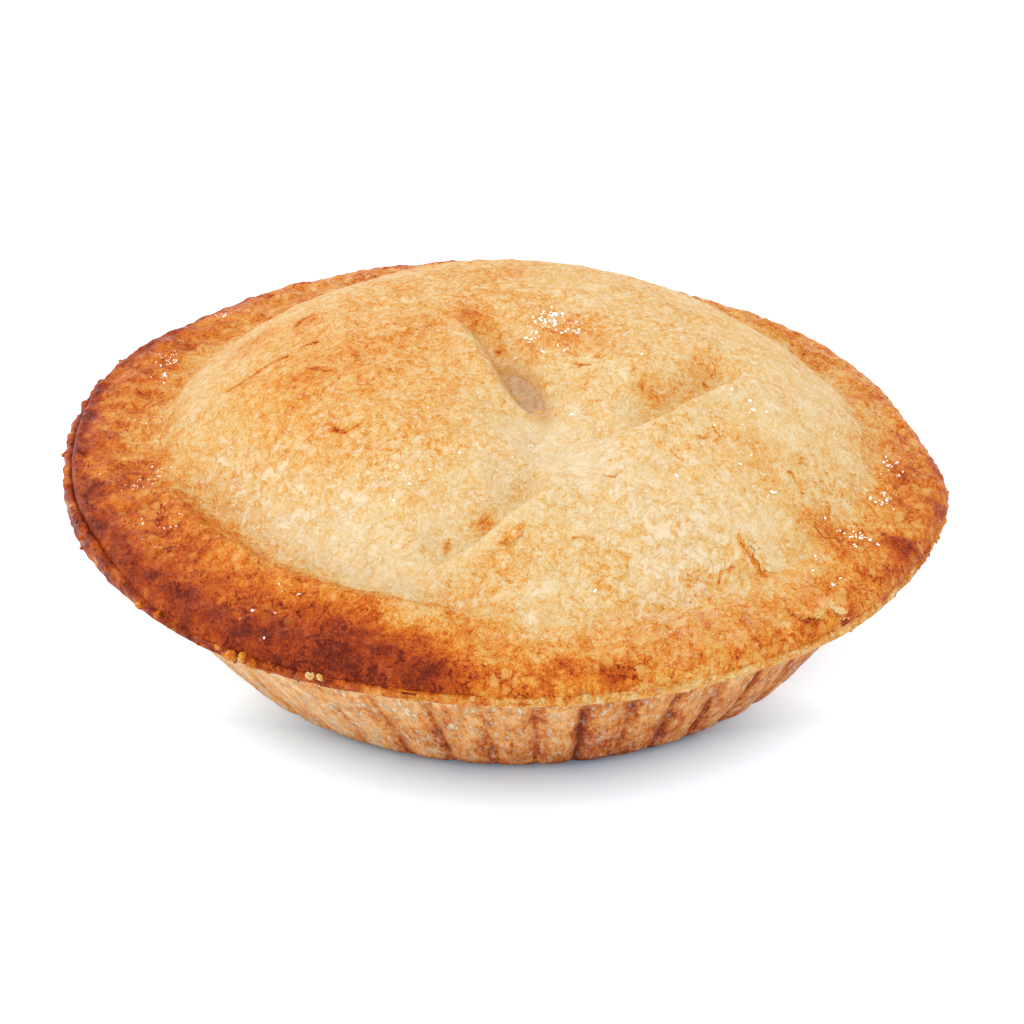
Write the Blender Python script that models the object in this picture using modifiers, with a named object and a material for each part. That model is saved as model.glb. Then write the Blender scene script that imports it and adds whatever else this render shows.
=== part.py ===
"""A small closed lemon pie, baked in a fluted tin and turned out of it.

Three solids, in metres, +Z up, standing on z = 0 with the pie's middle on the Z axis and its front at -Y:
base_crust, the fluted pastry case with its flange; lemon_filling, what the case and the lid hold;
lid_crust, the pastry lid, which drapes over the filling, with three creased vent slits, one of them open.
"""

import bmesh
import bpy
import numpy as np

MM = 0.001

# The case
RIM_RADIUS = 62.7 * MM          # out to the edge of the flange
FLANGE_UNDERSIDE = 22.4 * MM    # height of the flange's lower face over the table
FLANGE_THICKNESS = 1.4 * MM
LIP_HEIGHT = 1.5 * MM           # the case's edge, turned up round the lid
LIP_WIDTH = 1.3 * MM
CASE_TOP_RADIUS = 58.4 * MM     # the wall just below the flange
CASE_FOOT_RADIUS = 42.6 * MM    # the wall at the table
CASE_BULGE = 0.6 * MM           # how far the wall is round instead of straight
CASE_WALL = 5.2 * MM            # level through the wall at its foot
CASE_FLOOR = 4.6 * MM
CORNER = 1.5 * MM               # bevel inside, where the floor meets the wall
FOOT_ROUNDING = 1.7 * MM        # and outside
CASE_LEAN = 1.3 * MM            # the foot lies this far to the right of the rim
WALL_RINGS = 6

# Flutes of the case
FLUTES = 48
STEPS_PER_FLUTE = 3
FLUTE_PHASE = np.radians(2.5)   # the first valley lies here, on a step of the turning
FLUTE_DEPTH = 1.35 * MM
FLUTE_SHARPNESS = 1.6           # 1 leaves the valleys as wide as the backs, more makes them narrower
FLUTE_FOOT, FLUTE_TOP = 0.45, 0.15      # shares of the depth that are left at foot and flange
FOOT_ZONE = 6.0 * MM
TOP_ZONE = (13.0 * MM, 21.5 * MM)

# The rim is flat and low at the back right, and high at the left
FLAT_FROM = np.radians((-12.0, 12.0))   # it flattens between these angles
FLAT_TO = np.radians((60.0, 100.0))     # and is round again past these
FLAT_DEPTH = 3.9 * MM
HIGH_SIDE = np.radians(185.0)
RIM_TILT = 0.6 * MM             # the rim is this much higher there, and as much lower across from it
RIM_ZONE = 15.0 * MM            # the case follows the rim's unevenness from this height up
WAVER = 0.2 * MM                # unevenness of the edge

# The lid
LID_STEPS = 96                  # round the lid and the filling, which share the rings where they meet
LID_RINGS = 22
LID_THICKNESS = 3.3 * MM
GAP = 0.35 * MM                 # between solids that touch in the real pie
EDGE_ROUNDING = 5.5 * MM        # width of the lid's rounded shoulder
EDGE_SHARE = 0.25               # share of the thickness that is left at its edge
EDGE_TURNS = np.radians((27.0, 48.0, 68.0, 90.0))
DOME_RADIUS = 50.5 * MM
DOME_SHIFT = 1.2 * MM           # the dome sits this far to the right
DENT_AT, DENT_WIDTH = np.radians(28.0), np.radians(24.0)    # the dome comes short of the rim here
DENT = 2.3 * MM
DOME_RISE = 15.3 * MM
DOME_FULLNESS = 3.6             # 2 is a round cap, more is a flatter top with steeper shoulders
FOOT_FILLET = 0.5 * MM          # what fills the corner between dome and flange
FILLET_WIDTH = 3.5 * MM
UNDERSIDE_RINGS = tuple(radius * MM for radius in (0.0, 9.0, 18.0, 27.0, 35.0, 42.0, 48.0))

# The ridge that the rim rolls up into at the front left, with a hollow behind it
RIDGE_FROM, RIDGE_TO = np.radians(-164.0), np.radians(-97.0)
RIDGE_FADE = np.radians(11.0)
RIDGE_RADIUS = 50.0 * MM
RIDGE_HEIGHT = 2.1 * MM
RIDGE_WIDTH = 3.0 * MM
RIDGE_CUTS_DOME = 5.0 * MM      # how much nearer the dome's foot comes to the middle behind it

# The lid's three creased slits, in plan, in mm: points along each, its depth, the widths of its steep side
# and of its gentle one, and which side is the steep one, 1 for left, seen from its first point to its last
CREASES = {
    "back_slit": {
        "points": ((4.6, -12.5), (0.9, -6.5), (-1.8, 2.0), (-4.8, 9.5)),
        "depth": 2.6, "steep": 2.3, "gentle": 5.0, "steep_side": 1,
    },
    "front_slit": {
        "points": ((5.5, -25.5), (1.7, -34.0), (-4.6, -38.7), (-12.5, -39.7)),
        "depth": 2.9, "steep": 2.4, "gentle": 6.5, "steep_side": 1,
    },
    "right_slit": {
        "points": ((14.5, -19.0), (20.3, -15.2), (26.8, -7.8), (34.0, 1.0)),
        "depth": 2.3, "steep": 2.4, "gentle": 5.0, "steep_side": -1,
    },
}
CREASE_FADE = 0.16              # share of a crease's length over which each end fades out
CREASE_END = 0.25               # share of its depth that is left at its ends
LIP_SHARE = 0.4                 # the steep side's edge stands up by this share of the crease's depth
LIP_OFFSET, LIP_SPREAD = 3.6, 2.6
UNDERSIDE_SHARE = 0.5           # creases are half as deep in the lid's underside
UNDERSIDE_SPREAD = 2.5          # and wider by this many mm

# The low place that the slits point to, in plan, in mm
SADDLE_AT = (6.0, -18.0)
SADDLE_SIZE = (8.5, 12.0)       # across and along
SADDLE_TURN = np.radians(14.0)
SADDLE_DEPTH = 5.0 * MM
DIP_RAMP = 5.0 * MM             # it fades out over this much of the dome's rise

# The open vent, at the front end of the back slit
VENT_AT = (2.7 * MM, -6.5 * MM, 36.0 * MM)
VENT_SIZE = (3.4 * MM, 9.6 * MM, 30.0 * MM)
VENT_TURN = np.radians(25.0)    # from the Y axis, turned to the left
VENT_SIDES = 20

FILLING_STEP = 0.45 * MM        # the filling lies this much lower than the flange's top and the dome

SHARP_ANGLE = np.radians(50.0)
MATERIALS = {
    "pastry_pale": ((0.62, 0.36, 0.16, 1.0), 0.65),
    "pastry_golden": ((0.74, 0.42, 0.15, 1.0), 0.5),
    "lemon": ((0.62, 0.36, 0.13, 1.0), 0.25),
}


def smooth(low, high, value):
    """0 below low, 1 above high, and a smooth ramp between them."""
    share = np.clip((value - low) / (high - low), 0.0, 1.0)
    return share * share * (3.0 - 2.0 * share)


def bell(offset, width):
    """1 where offset is 0, and fading to both sides over about width."""
    return np.exp(-((offset / width) ** 2))


def turn_between(angle, middle):
    """The angle from middle, wrapped to lie between minus and plus a half turn."""
    return (angle - middle + np.pi) % (2.0 * np.pi) - np.pi


def flange_top():
    return FLANGE_UNDERSIDE + FLANGE_THICKNESS


def wall_radius(height):
    """Outer radius of the case's wall at a height over the table."""
    share = height / FLANGE_UNDERSIDE
    straight = CASE_FOOT_RADIUS + (CASE_TOP_RADIUS - CASE_FOOT_RADIUS) * share
    return straight + CASE_BULGE * np.sin(np.pi * share)


def floor_radius():
    """Radius of the flat part of the case's floor, inside."""
    return wall_radius(CASE_FLOOR) - CASE_WALL - CORNER


def mouth_radius():
    """Radius of the case's mouth, where the flange begins. It clears the filling's top ring."""
    return UNDERSIDE_RINGS[-1] + 2.0 * GAP


def lean(height):
    """How far to the right the case and the filling lie at a height over the table."""
    return CASE_LEAN * (1.0 - smooth(0.0, FLANGE_UNDERSIDE, height))


def outline(angle):
    """Radius of the flange's edge as a share of RIM_RADIUS."""
    flat = FLAT_DEPTH * smooth(*FLAT_FROM, angle) * (1.0 - smooth(*FLAT_TO, angle))
    waver = WAVER * (np.sin(5.0 * angle + 0.6) + 0.7 * np.sin(9.0 * angle + 2.0))
    return (RIM_RADIUS - flat + waver) / RIM_RADIUS


def rim_lift(angle):
    """How much higher the rim lies than its mean height."""
    return RIM_TILT * np.cos(angle - HIGH_SIDE)


def ridge_share(angle):
    """1 along the ridge at the front left, fading to 0 past its ends."""
    middle, half = (RIDGE_FROM + RIDGE_TO) / 2.0, (RIDGE_TO - RIDGE_FROM) / 2.0
    return 1.0 - smooth(half - RIDGE_FADE, half + RIDGE_FADE, np.abs(turn_between(angle, middle)))


def flute_valley(angle):
    """1 in the valleys between the flutes and 0 on their rounded backs, uneven round the case."""
    valley = (1.0 - np.abs(np.sin(0.5 * FLUTES * (angle - FLUTE_PHASE)))) ** FLUTE_SHARPNESS
    return valley * (1.0 + 0.3 * np.sin(3.0 * angle + 1.0) + 0.2 * np.sin(7.0 * angle))


def flute_fade(height):
    """Share of the flutes' depth at a height: full at mid height, less at the foot, least at the flange."""
    foot = FLUTE_FOOT + (1.0 - FLUTE_FOOT) * smooth(0.0, FOOT_ZONE, height)
    return foot - (1.0 - FLUTE_TOP) * smooth(*TOP_ZONE, height)


def dome_foot(angle):
    """Radius at which the dome of the lid meets the flange."""
    dent = DENT * bell(turn_between(angle, DENT_AT), DENT_WIDTH)
    return DOME_RADIUS + DOME_SHIFT * np.cos(angle) - dent - RIDGE_CUTS_DOME * ridge_share(angle)


def along_path(x, y, points):
    """For plan points: distance to a path, their side of it (left is 1), and the share of the path run."""
    nearest = np.full(np.shape(x), np.inf)
    side = np.zeros(np.shape(x))
    share = np.zeros(np.shape(x))
    corners = np.array(points)
    lengths = np.hypot(*(corners[1:] - corners[:-1]).T)
    run = np.concatenate([[0.0], np.cumsum(lengths)]) / lengths.sum()
    for number, length in enumerate(lengths):
        start = corners[number]
        along = (corners[number + 1] - start) / length
        off_x, off_y = x - start[0], y - start[1]
        reach = np.clip(off_x * along[0] + off_y * along[1], 0.0, length)
        distance = np.hypot(off_x - reach * along[0], off_y - reach * along[1])
        nearer = distance < nearest
        nearest = np.where(nearer, distance, nearest)
        side = np.where(nearer, np.sign(along[0] * off_y - along[1] * off_x), side)
        run_here = run[number] + reach / length * (run[number + 1] - run[number])
        share = np.where(nearer, run_here, share)
    return nearest, side, share


def crease_depth(x, y, crease, spread):
    """How far one crease, its sides wider by spread mm, presses the lid down at plan points in metres."""
    off, side, share = along_path(x / MM, y / MM, crease["points"])
    steep = side == crease["steep_side"]
    width = spread + np.where(steep, crease["steep"], crease["gentle"])
    fade = smooth(0.0, CREASE_FADE, share) * (1.0 - smooth(1.0 - CREASE_FADE, 1.0, share))
    pressed = bell(off, width) * (CREASE_END + (1.0 - CREASE_END) * fade)
    lip = LIP_SHARE * fade * np.where(steep, bell(off - LIP_OFFSET, LIP_SPREAD), 0.0)
    return crease["depth"] * MM * (pressed - lip)


def creases_depth(x, y, spread):
    return sum(crease_depth(x, y, crease, spread) for crease in CREASES.values())


def saddle_depth(x, y):
    """How far the low place between the slits lies below the dome, at plan points in metres."""
    off_x, off_y = x / MM - SADDLE_AT[0], y / MM - SADDLE_AT[1]
    across = off_x * np.cos(SADDLE_TURN) + off_y * np.sin(SADDLE_TURN)
    along = -off_x * np.sin(SADDLE_TURN) + off_y * np.cos(SADDLE_TURN)
    return SADDLE_DEPTH * bell(np.hypot(across / SADDLE_SIZE[0], along / SADDLE_SIZE[1]), 1.0)


def dome(x, y):
    """Height of the dome above the flange, without its creases, at plan points in metres."""
    radius, angle = np.hypot(x, y), np.arctan2(y, x)
    share = np.clip(radius / dome_foot(angle), 0.0, 1.0)
    rise = DOME_RISE * (1.0 - share ** DOME_FULLNESS)
    return np.maximum(rise - saddle_depth(x, y) * smooth(0.0, DIP_RAMP, rise), 0.0)


def lid_relief(x, y):
    """What the lid's top has over the dome: creases, the ridge at the front left, the fillet at the foot."""
    radius, angle = np.hypot(x, y), np.arctan2(y, x)
    ridge = RIDGE_HEIGHT * ridge_share(angle) * bell(radius - RIDGE_RADIUS, RIDGE_WIDTH)
    fillet = FOOT_FILLET * (1.0 - ridge_share(angle)) * bell(radius - dome_foot(angle), FILLET_WIDTH)
    return ridge + fillet - creases_depth(x, y, 0.0)


def underside_dip(x, y):
    """How far the creases press the lid's underside down."""
    return UNDERSIDE_SHARE * creases_depth(x, y, UNDERSIDE_SPREAD)


def new_collection(name):
    collection = bpy.data.collections.new(name)
    bpy.context.scene.collection.children.link(collection)
    return collection


def new_material(name):
    colour, roughness = MATERIALS[name]
    material = bpy.data.materials.new(name)
    material.use_nodes = True
    shader = material.node_tree.nodes["Principled BSDF"]
    shader.inputs["Base Color"].default_value = colour
    shader.inputs["Roughness"].default_value = roughness
    shader.inputs["Metallic"].default_value = 0.0
    return material


def close_poles(mesh):
    """Welds the points that a turned profile leaves on its axis, and faces everything outwards."""
    welded = bmesh.new()
    welded.from_mesh(mesh)
    bmesh.ops.remove_doubles(welded, verts=welded.verts, dist=0.01 * MM)
    bmesh.ops.recalc_face_normals(welded, faces=welded.faces)
    welded.to_mesh(mesh)
    welded.free()


def turned(name, profile, steps, collection, material):
    """A closed solid turned round Z from a profile of (radius, height), which starts and ends on the axis."""
    points = [(radius, 0.0, height) for radius, height in profile]
    profile_mesh = bpy.data.meshes.new(name)
    profile_mesh.from_pydata(points, [(i, i + 1) for i in range(len(points) - 1)], [])
    solid = bpy.data.objects.new(name, profile_mesh)
    collection.objects.link(solid)
    screw = solid.modifiers.new("turn", "SCREW")
    screw.axis = "Z"
    screw.steps = steps
    screw.render_steps = steps
    screw.use_merge_vertices = True
    screw.merge_threshold = 0.01 * MM
    evaluated = solid.evaluated_get(bpy.context.evaluated_depsgraph_get())
    turned_mesh = bpy.data.meshes.new_from_object(evaluated)
    solid.modifiers.clear()
    solid.data = turned_mesh
    bpy.data.meshes.remove(profile_mesh)
    close_poles(turned_mesh)
    turned_mesh.materials.append(material)
    return solid


def reshape(solid, move):
    """Moves every point of a solid by a function of its x, y and z."""
    points = np.empty(len(solid.data.vertices) * 3)
    solid.data.vertices.foreach_get("co", points)
    moved = np.stack(move(*points.reshape(-1, 3).T), axis=1)
    solid.data.vertices.foreach_set("co", moved.ravel())
    solid.data.update()


def case_profile():
    """From the middle of the case's floor up its inside, over the flange's lip and down its outside."""
    lip_inside, lip_top = RIM_RADIUS - LIP_WIDTH, flange_top() + LIP_HEIGHT
    inside = [
        (0.0, CASE_FLOOR),
        (floor_radius(), CASE_FLOOR),
        (floor_radius() + CORNER, CASE_FLOOR + CORNER),
        (mouth_radius(), flange_top() - 0.5 * FLANGE_THICKNESS),
        (mouth_radius() + 0.5 * FLANGE_THICKNESS, flange_top()),
    ]
    lip = [
        (lip_inside, flange_top()),
        (lip_inside, lip_top - 0.3 * LIP_HEIGHT),
        (lip_inside + 0.4 * LIP_WIDTH, lip_top),
        (RIM_RADIUS - 0.2 * LIP_WIDTH, lip_top - 0.3 * LIP_HEIGHT),
        (RIM_RADIUS, lip_top - 0.8 * LIP_HEIGHT),
        (RIM_RADIUS - 0.2 * LIP_WIDTH, FLANGE_UNDERSIDE + 0.2 * FLANGE_THICKNESS),
        (RIM_RADIUS - LIP_WIDTH, FLANGE_UNDERSIDE),
        (CASE_TOP_RADIUS + 0.5 * LIP_WIDTH, FLANGE_UNDERSIDE),
    ]
    wall = [(wall_radius(z), z) for z in np.linspace(0.95, 0.07, WALL_RINGS) * FLANGE_UNDERSIDE]
    foot = [
        (CASE_FOOT_RADIUS - 0.3 * FOOT_ROUNDING, 0.2 * FOOT_ROUNDING),
        (CASE_FOOT_RADIUS - FOOT_ROUNDING, 0.0),
        (0.0, 0.0),
    ]
    return inside + lip + wall + foot


def shape_case(x, y, z):
    """Presses the flutes' valleys into the wall, makes the flange uneven and leans the case."""
    radius, angle = np.hypot(x, y), np.arctan2(y, x)
    on_wall = (radius > wall_radius(z) - 0.4 * CASE_WALL) & (z < 0.98 * FLANGE_UNDERSIDE)
    pressed = FLUTE_DEPTH * flute_valley(angle) * np.where(on_wall, flute_fade(z), 0.0)
    on_flange = smooth(DOME_RADIUS, CASE_TOP_RADIUS, radius) * smooth(RIM_ZONE, FLANGE_UNDERSIDE, z)
    scale = 1.0 + (outline(angle) - 1.0) * on_flange - pressed / np.maximum(radius, MM)
    return x * scale + lean(z), y * scale, z + rim_lift(angle) * on_flange


def base_crust(collection, material):
    case = turned("base_crust", case_profile(), FLUTES * STEPS_PER_FLUTE, collection, material)
    reshape(case, shape_case)


def filling_profile():
    """A plug that fits the case with a gap all round, its top still level."""
    top = [(radius, flange_top()) for radius in UNDERSIDE_RINGS]
    sides = [
        (floor_radius() + CORNER - GAP, CASE_FLOOR + CORNER + 0.5 * GAP),
        (floor_radius() - 0.5 * GAP, CASE_FLOOR + GAP),
        (0.0, CASE_FLOOR + GAP),
    ]
    return top + sides


def shape_filling(x, y, z):
    """Raises the plug's top under the lid, and leans the plug with the case."""
    on_top = z > 0.99 * flange_top()
    raised = np.where(on_top, dome(x, y) - underside_dip(x, y) - FILLING_STEP, 0.0)
    return x + lean(z), y, z + raised


def lemon_filling(collection, material):
    filling = turned("lemon_filling", filling_profile(), LID_STEPS, collection, material)
    reshape(filling, shape_filling)


def lid_profile():
    """A flat round sheet: from the middle of its top, over its rounded edge, to the middle underneath."""
    edge = RIM_RADIUS - LIP_WIDTH - GAP
    top = [(radius, LID_THICKNESS) for radius in np.linspace(0.0, edge - EDGE_ROUNDING, LID_RINGS)]
    radii = edge - EDGE_ROUNDING * (1.0 - np.sin(EDGE_TURNS))
    heights = LID_THICKNESS * (EDGE_SHARE + (1.0 - EDGE_SHARE) * np.cos(EDGE_TURNS))
    underside = [(radius, 0.0) for radius in (edge,) + UNDERSIDE_RINGS[::-1]]
    return top + list(zip(radii, heights)) + underside


def shape_lid(x, y, z):
    """Drapes the flat sheet over the dome and the flange."""
    radius, angle = np.hypot(x, y), np.arctan2(y, x)
    on_flange = smooth(DOME_RADIUS, CASE_TOP_RADIUS, radius)
    scale = 1.0 + (outline(angle) - 1.0) * on_flange
    share = z / LID_THICKNESS
    relief = share * lid_relief(x, y) - (1.0 - share) * underside_dip(x, y)
    lift = flange_top() + GAP + rim_lift(angle) * on_flange
    return x * scale, y * scale, lift + dome(x, y) + z + relief


def vent_cutter(collection):
    bpy.ops.mesh.primitive_cylinder_add(vertices=VENT_SIDES, radius=0.5, depth=1.0, location=VENT_AT)
    cutter = bpy.context.object
    cutter.name = "vent_cutter"
    cutter.scale = VENT_SIZE
    cutter.rotation_euler = (0.0, 0.0, VENT_TURN)
    for owner in list(cutter.users_collection):
        owner.objects.unlink(cutter)
    collection.objects.link(cutter)
    cutter.hide_render = True
    cutter.display_type = "WIRE"
    return cutter


def lid_crust(collection, cutters, material):
    lid = turned("lid_crust", lid_profile(), LID_STEPS, collection, material)
    reshape(lid, shape_lid)
    cut = lid.modifiers.new("vent", "BOOLEAN")
    cut.operation = "DIFFERENCE"
    cut.solver = "EXACT"
    cut.object = vent_cutter(cutters)


def main():
    for thing in list(bpy.data.objects):
        bpy.data.objects.remove(thing)
    pie = new_collection("lemon_pie")
    cutters = new_collection("cutters")
    base_crust(pie, new_material("pastry_pale"))
    lemon_filling(pie, new_material("lemon"))
    lid_crust(pie, cutters, new_material("pastry_golden"))
    for solid in pie.objects:
        solid.data.shade_smooth()
        solid.data.set_sharp_from_angle(angle=SHARP_ANGLE)


main()
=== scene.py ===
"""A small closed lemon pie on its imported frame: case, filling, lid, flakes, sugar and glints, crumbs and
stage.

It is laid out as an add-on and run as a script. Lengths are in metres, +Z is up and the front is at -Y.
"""

import contextlib
import itertools
import math

import bpy
import numpy as np
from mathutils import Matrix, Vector
from mathutils.bvhtree import BVHTree


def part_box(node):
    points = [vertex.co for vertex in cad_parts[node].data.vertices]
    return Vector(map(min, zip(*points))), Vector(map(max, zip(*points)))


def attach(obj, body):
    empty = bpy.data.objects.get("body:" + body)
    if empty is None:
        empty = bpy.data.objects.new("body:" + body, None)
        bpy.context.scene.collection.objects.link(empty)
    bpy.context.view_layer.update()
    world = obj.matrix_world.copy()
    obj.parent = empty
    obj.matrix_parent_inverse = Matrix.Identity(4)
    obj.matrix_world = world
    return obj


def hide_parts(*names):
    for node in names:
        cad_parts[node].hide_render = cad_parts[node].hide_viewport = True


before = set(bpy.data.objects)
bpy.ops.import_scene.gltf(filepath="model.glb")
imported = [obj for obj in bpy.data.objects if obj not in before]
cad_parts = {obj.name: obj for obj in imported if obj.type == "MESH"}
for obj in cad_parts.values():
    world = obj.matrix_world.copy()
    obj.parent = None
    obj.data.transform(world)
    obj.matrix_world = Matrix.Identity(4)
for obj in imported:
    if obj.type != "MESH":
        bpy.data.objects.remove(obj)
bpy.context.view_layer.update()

bl_info = {
    "name": "Lemon Pie",
    "version": (1, 0, 0),
    "blender": (4, 5, 0),
    "location": "3D View > Sidebar > Lemon Pie",
    "description": "Builds a small closed lemon pie with its filling, flakes, sugar, crumbs and stage",
    "category": "Object",
}

MM = 0.001
WELD = 0.01 * MM
FULL_TURN = 2.0 * math.pi

_, CASE_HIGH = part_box("base_crust")
RIM_RADIUS = 62.7 * MM          # out to the edge of the flange, and how round the rim is

# The lid's sheet
LID_RINGS = 140                 # rings of faces from the middle of the lid to its edge
EDGE_RINGS = 16                 # how many of them make its rounded shoulder
UNDERSIDE_RADII = tuple(radius * MM for radius in (48.0, 42.0, 35.0, 27.0, 18.0, 9.0))
GAP = 0.35 * MM                 # between pieces that touch in the real pie
FLOOR_CORNER = 1.5 * MM         # the case's floor meets its wall in a corner cut off by this much
EDGE_SHARE = 0.25               # share of the lid's thickness that is left at its edge
FILLING_RINGS = 140
FILLING_STEP = 0.45 * MM        # the filling lies this much lower than the flange's top and the dome

# The lid's three creased slits, in plan, in mm: points along each, its depth, the widths of its steep side
# and of its gentle one, and which side is the steep one, 1 for left, seen from its first point to its last
CREASES = {
    "back_slit": {
        "points": ((4.6, -12.5), (0.9, -6.5), (-1.8, 2.0), (-4.8, 9.5)),
        "depth": 2.9, "steep": 2.1, "gentle": 4.2, "steep_side": 1,
    },
    "front_slit": {
        "points": ((5.5, -25.5), (1.7, -34.0), (-4.6, -38.7), (-12.5, -39.7)),
        "depth": 3.9, "steep": 1.9, "gentle": 6.0, "steep_side": 1,
    },
    "right_slit": {
        "points": ((14.5, -19.0), (20.3, -15.2), (26.8, -7.8), (34.0, 1.0)),
        "depth": 2.8, "steep": 2.0, "gentle": 4.8, "steep_side": -1,
    },
}
CREASE_FADE = 0.24              # share of a crease's length over which each end fades out
CREASE_END = 0.15               # share of its depth that is left at its ends
LIP_SHARE = 0.34                # the steep side's edge stands up by this share of the crease's depth
LIP_OFFSET, LIP_SPREAD = 3.4, 2.4       # how far from the crease that edge is, and its width, in mm
UNDERSIDE_SHARE = 0.5           # creases are half as deep in the lid's underside
UNDERSIDE_SPREAD = 2.5          # and wider by this many mm

# The open vent at the front end of the back slit, turned to the left from +Y, and its rolled edge
VENT_AT, VENT_TURN = (2.8 * MM, -6.6 * MM), math.radians(25.0)
VENT_ROLL, VENT_ROLL_WIDTH = 0.55 * MM, 1.6 * MM
# The low place between the slits: its middle and its reach across and along, in mm, and its turn
SADDLE_AT, SADDLE_REACH, SADDLE_TURN = (6.0, -18.0), (8.5, 12.0), math.radians(14.0)
SADDLE_FADE = 5.0 * MM          # it fades out over the lowest part of the dome's rise

# Directions round the pie, in degrees from +X, and over how many each one fades to both sides
DENT_SIDE = (28.0, 24.0)        # the dome's foot is dented inwards
LUMPY_SIDE = (38.0, 34.0)       # the rim is lumpy, and the dome stands sharply on it
LOW_SIDE = (52.0, 30.0)         # the dome's shoulder is low
BROAD_SIDE = (-158.0, 22.0)     # the rim's brown runs broadly into the dome
GLOSSY_SIDE = (180.0, 50.0)     # the rim shines most
SHALLOW_SIDE = (-130.0, 36.0)   # the flutes are shallow
# The same, but with the degrees to both sides up to which it is full and past which it has gone
GROOVE_SIDE = (180.0, (22.0, 46.0))
RIDGE_SIDE = (-130.5, (22.5, 44.5))

# The rim is flat at the back right, from the first of these degrees to the second
RIM_FLAT, FLAT_FROM, FLAT_TO = 3.9 * MM, (-12.0, 12.0), (60.0, 100.0)
RIM_WAVER = 0.2 * MM
RIM_TILT, TILT_TOWARDS = 0.6 * MM, math.radians(185.0)
RIM_SOFT, RIDGE_SHARP = 4.0 * MM, 2.6 * MM      # how softly the rim sets in, and how much less at the ridge
DENT, RIDGE_PULL = 2.3 * MM, 5.0 * MM           # how far dent and ridge draw the dome's foot in
RIDGE_RADIUS, RIDGE_WIDTH = 50.0 * MM, 3.0 * MM
FILLET, FILLET_WIDTH = 0.5 * MM, 3.5 * MM       # where the dome meets the rim
LOW_SHOULDER, LOW_FROM, LOW_TO = 0.8 * MM, (22.0 * MM, 36.0 * MM), (50.0 * MM, 56.0 * MM)

FLUTE_SHARPNESS = 1.9           # 1 leaves the valleys as wide as the backs, more makes them narrower
FLUTES_FULL, FLUTES_GONE = (0.0, 6.0 * MM), (13.0 * MM, 21.5 * MM)
LID_STEPS = 0.9                 # how strong the thin steps in the lid's skin are against its grain

# How brown the rim is round the pie, with painted shade in the groove: degrees from +X, and the shares
# at the dome's foot, half way out, in the groove at the lid's edge, where painted shade darkens them,
# and on the case's turned-up edge
RIM_TOAST_AND_SHADE = (
    (-180, 0.54, 0.68, 0.90, 0.80),
    (-165, 0.56, 0.70, 0.88, 0.82),
    (-150, 0.56, 0.73, 0.88, 0.88),
    (-135, 0.55, 0.77, 0.90, 0.90),
    (-122, 0.52, 0.82, 0.92, 0.90),
    (-110, 0.50, 0.86, 0.92, 0.86),
    (-101, 0.50, 0.74, 0.87, 0.74),
    (-93, 0.49, 0.56, 0.67, 0.60),
    (-75, 0.46, 0.54, 0.60, 0.54),
    (-58, 0.43, 0.52, 0.60, 0.53),
    (-40, 0.40, 0.56, 0.63, 0.55),
    (-22, 0.44, 0.64, 0.72, 0.63),
    (0, 0.44, 0.62, 0.74, 0.66),
    (25, 0.50, 0.58, 0.64, 0.60),
    (50, 0.50, 0.58, 0.64, 0.60),
    (90, 0.44, 0.56, 0.64, 0.60),
    (125, 0.50, 0.60, 0.72, 0.68),
    (142, 0.56, 0.68, 0.82, 0.74),
    (162, 0.56, 0.70, 0.90, 0.78),
)
# How dark the wall is round the case, from stain and painted shade: degrees from +X, and the share
WALL_STAIN_AND_SHADE = (
    (-150, 0.24), (-120, 0.34), (-95, 0.47), (-75, 0.60), (-50, 0.49), (0, 0.41), (90, 0.42), (170, 0.34),
)
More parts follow.
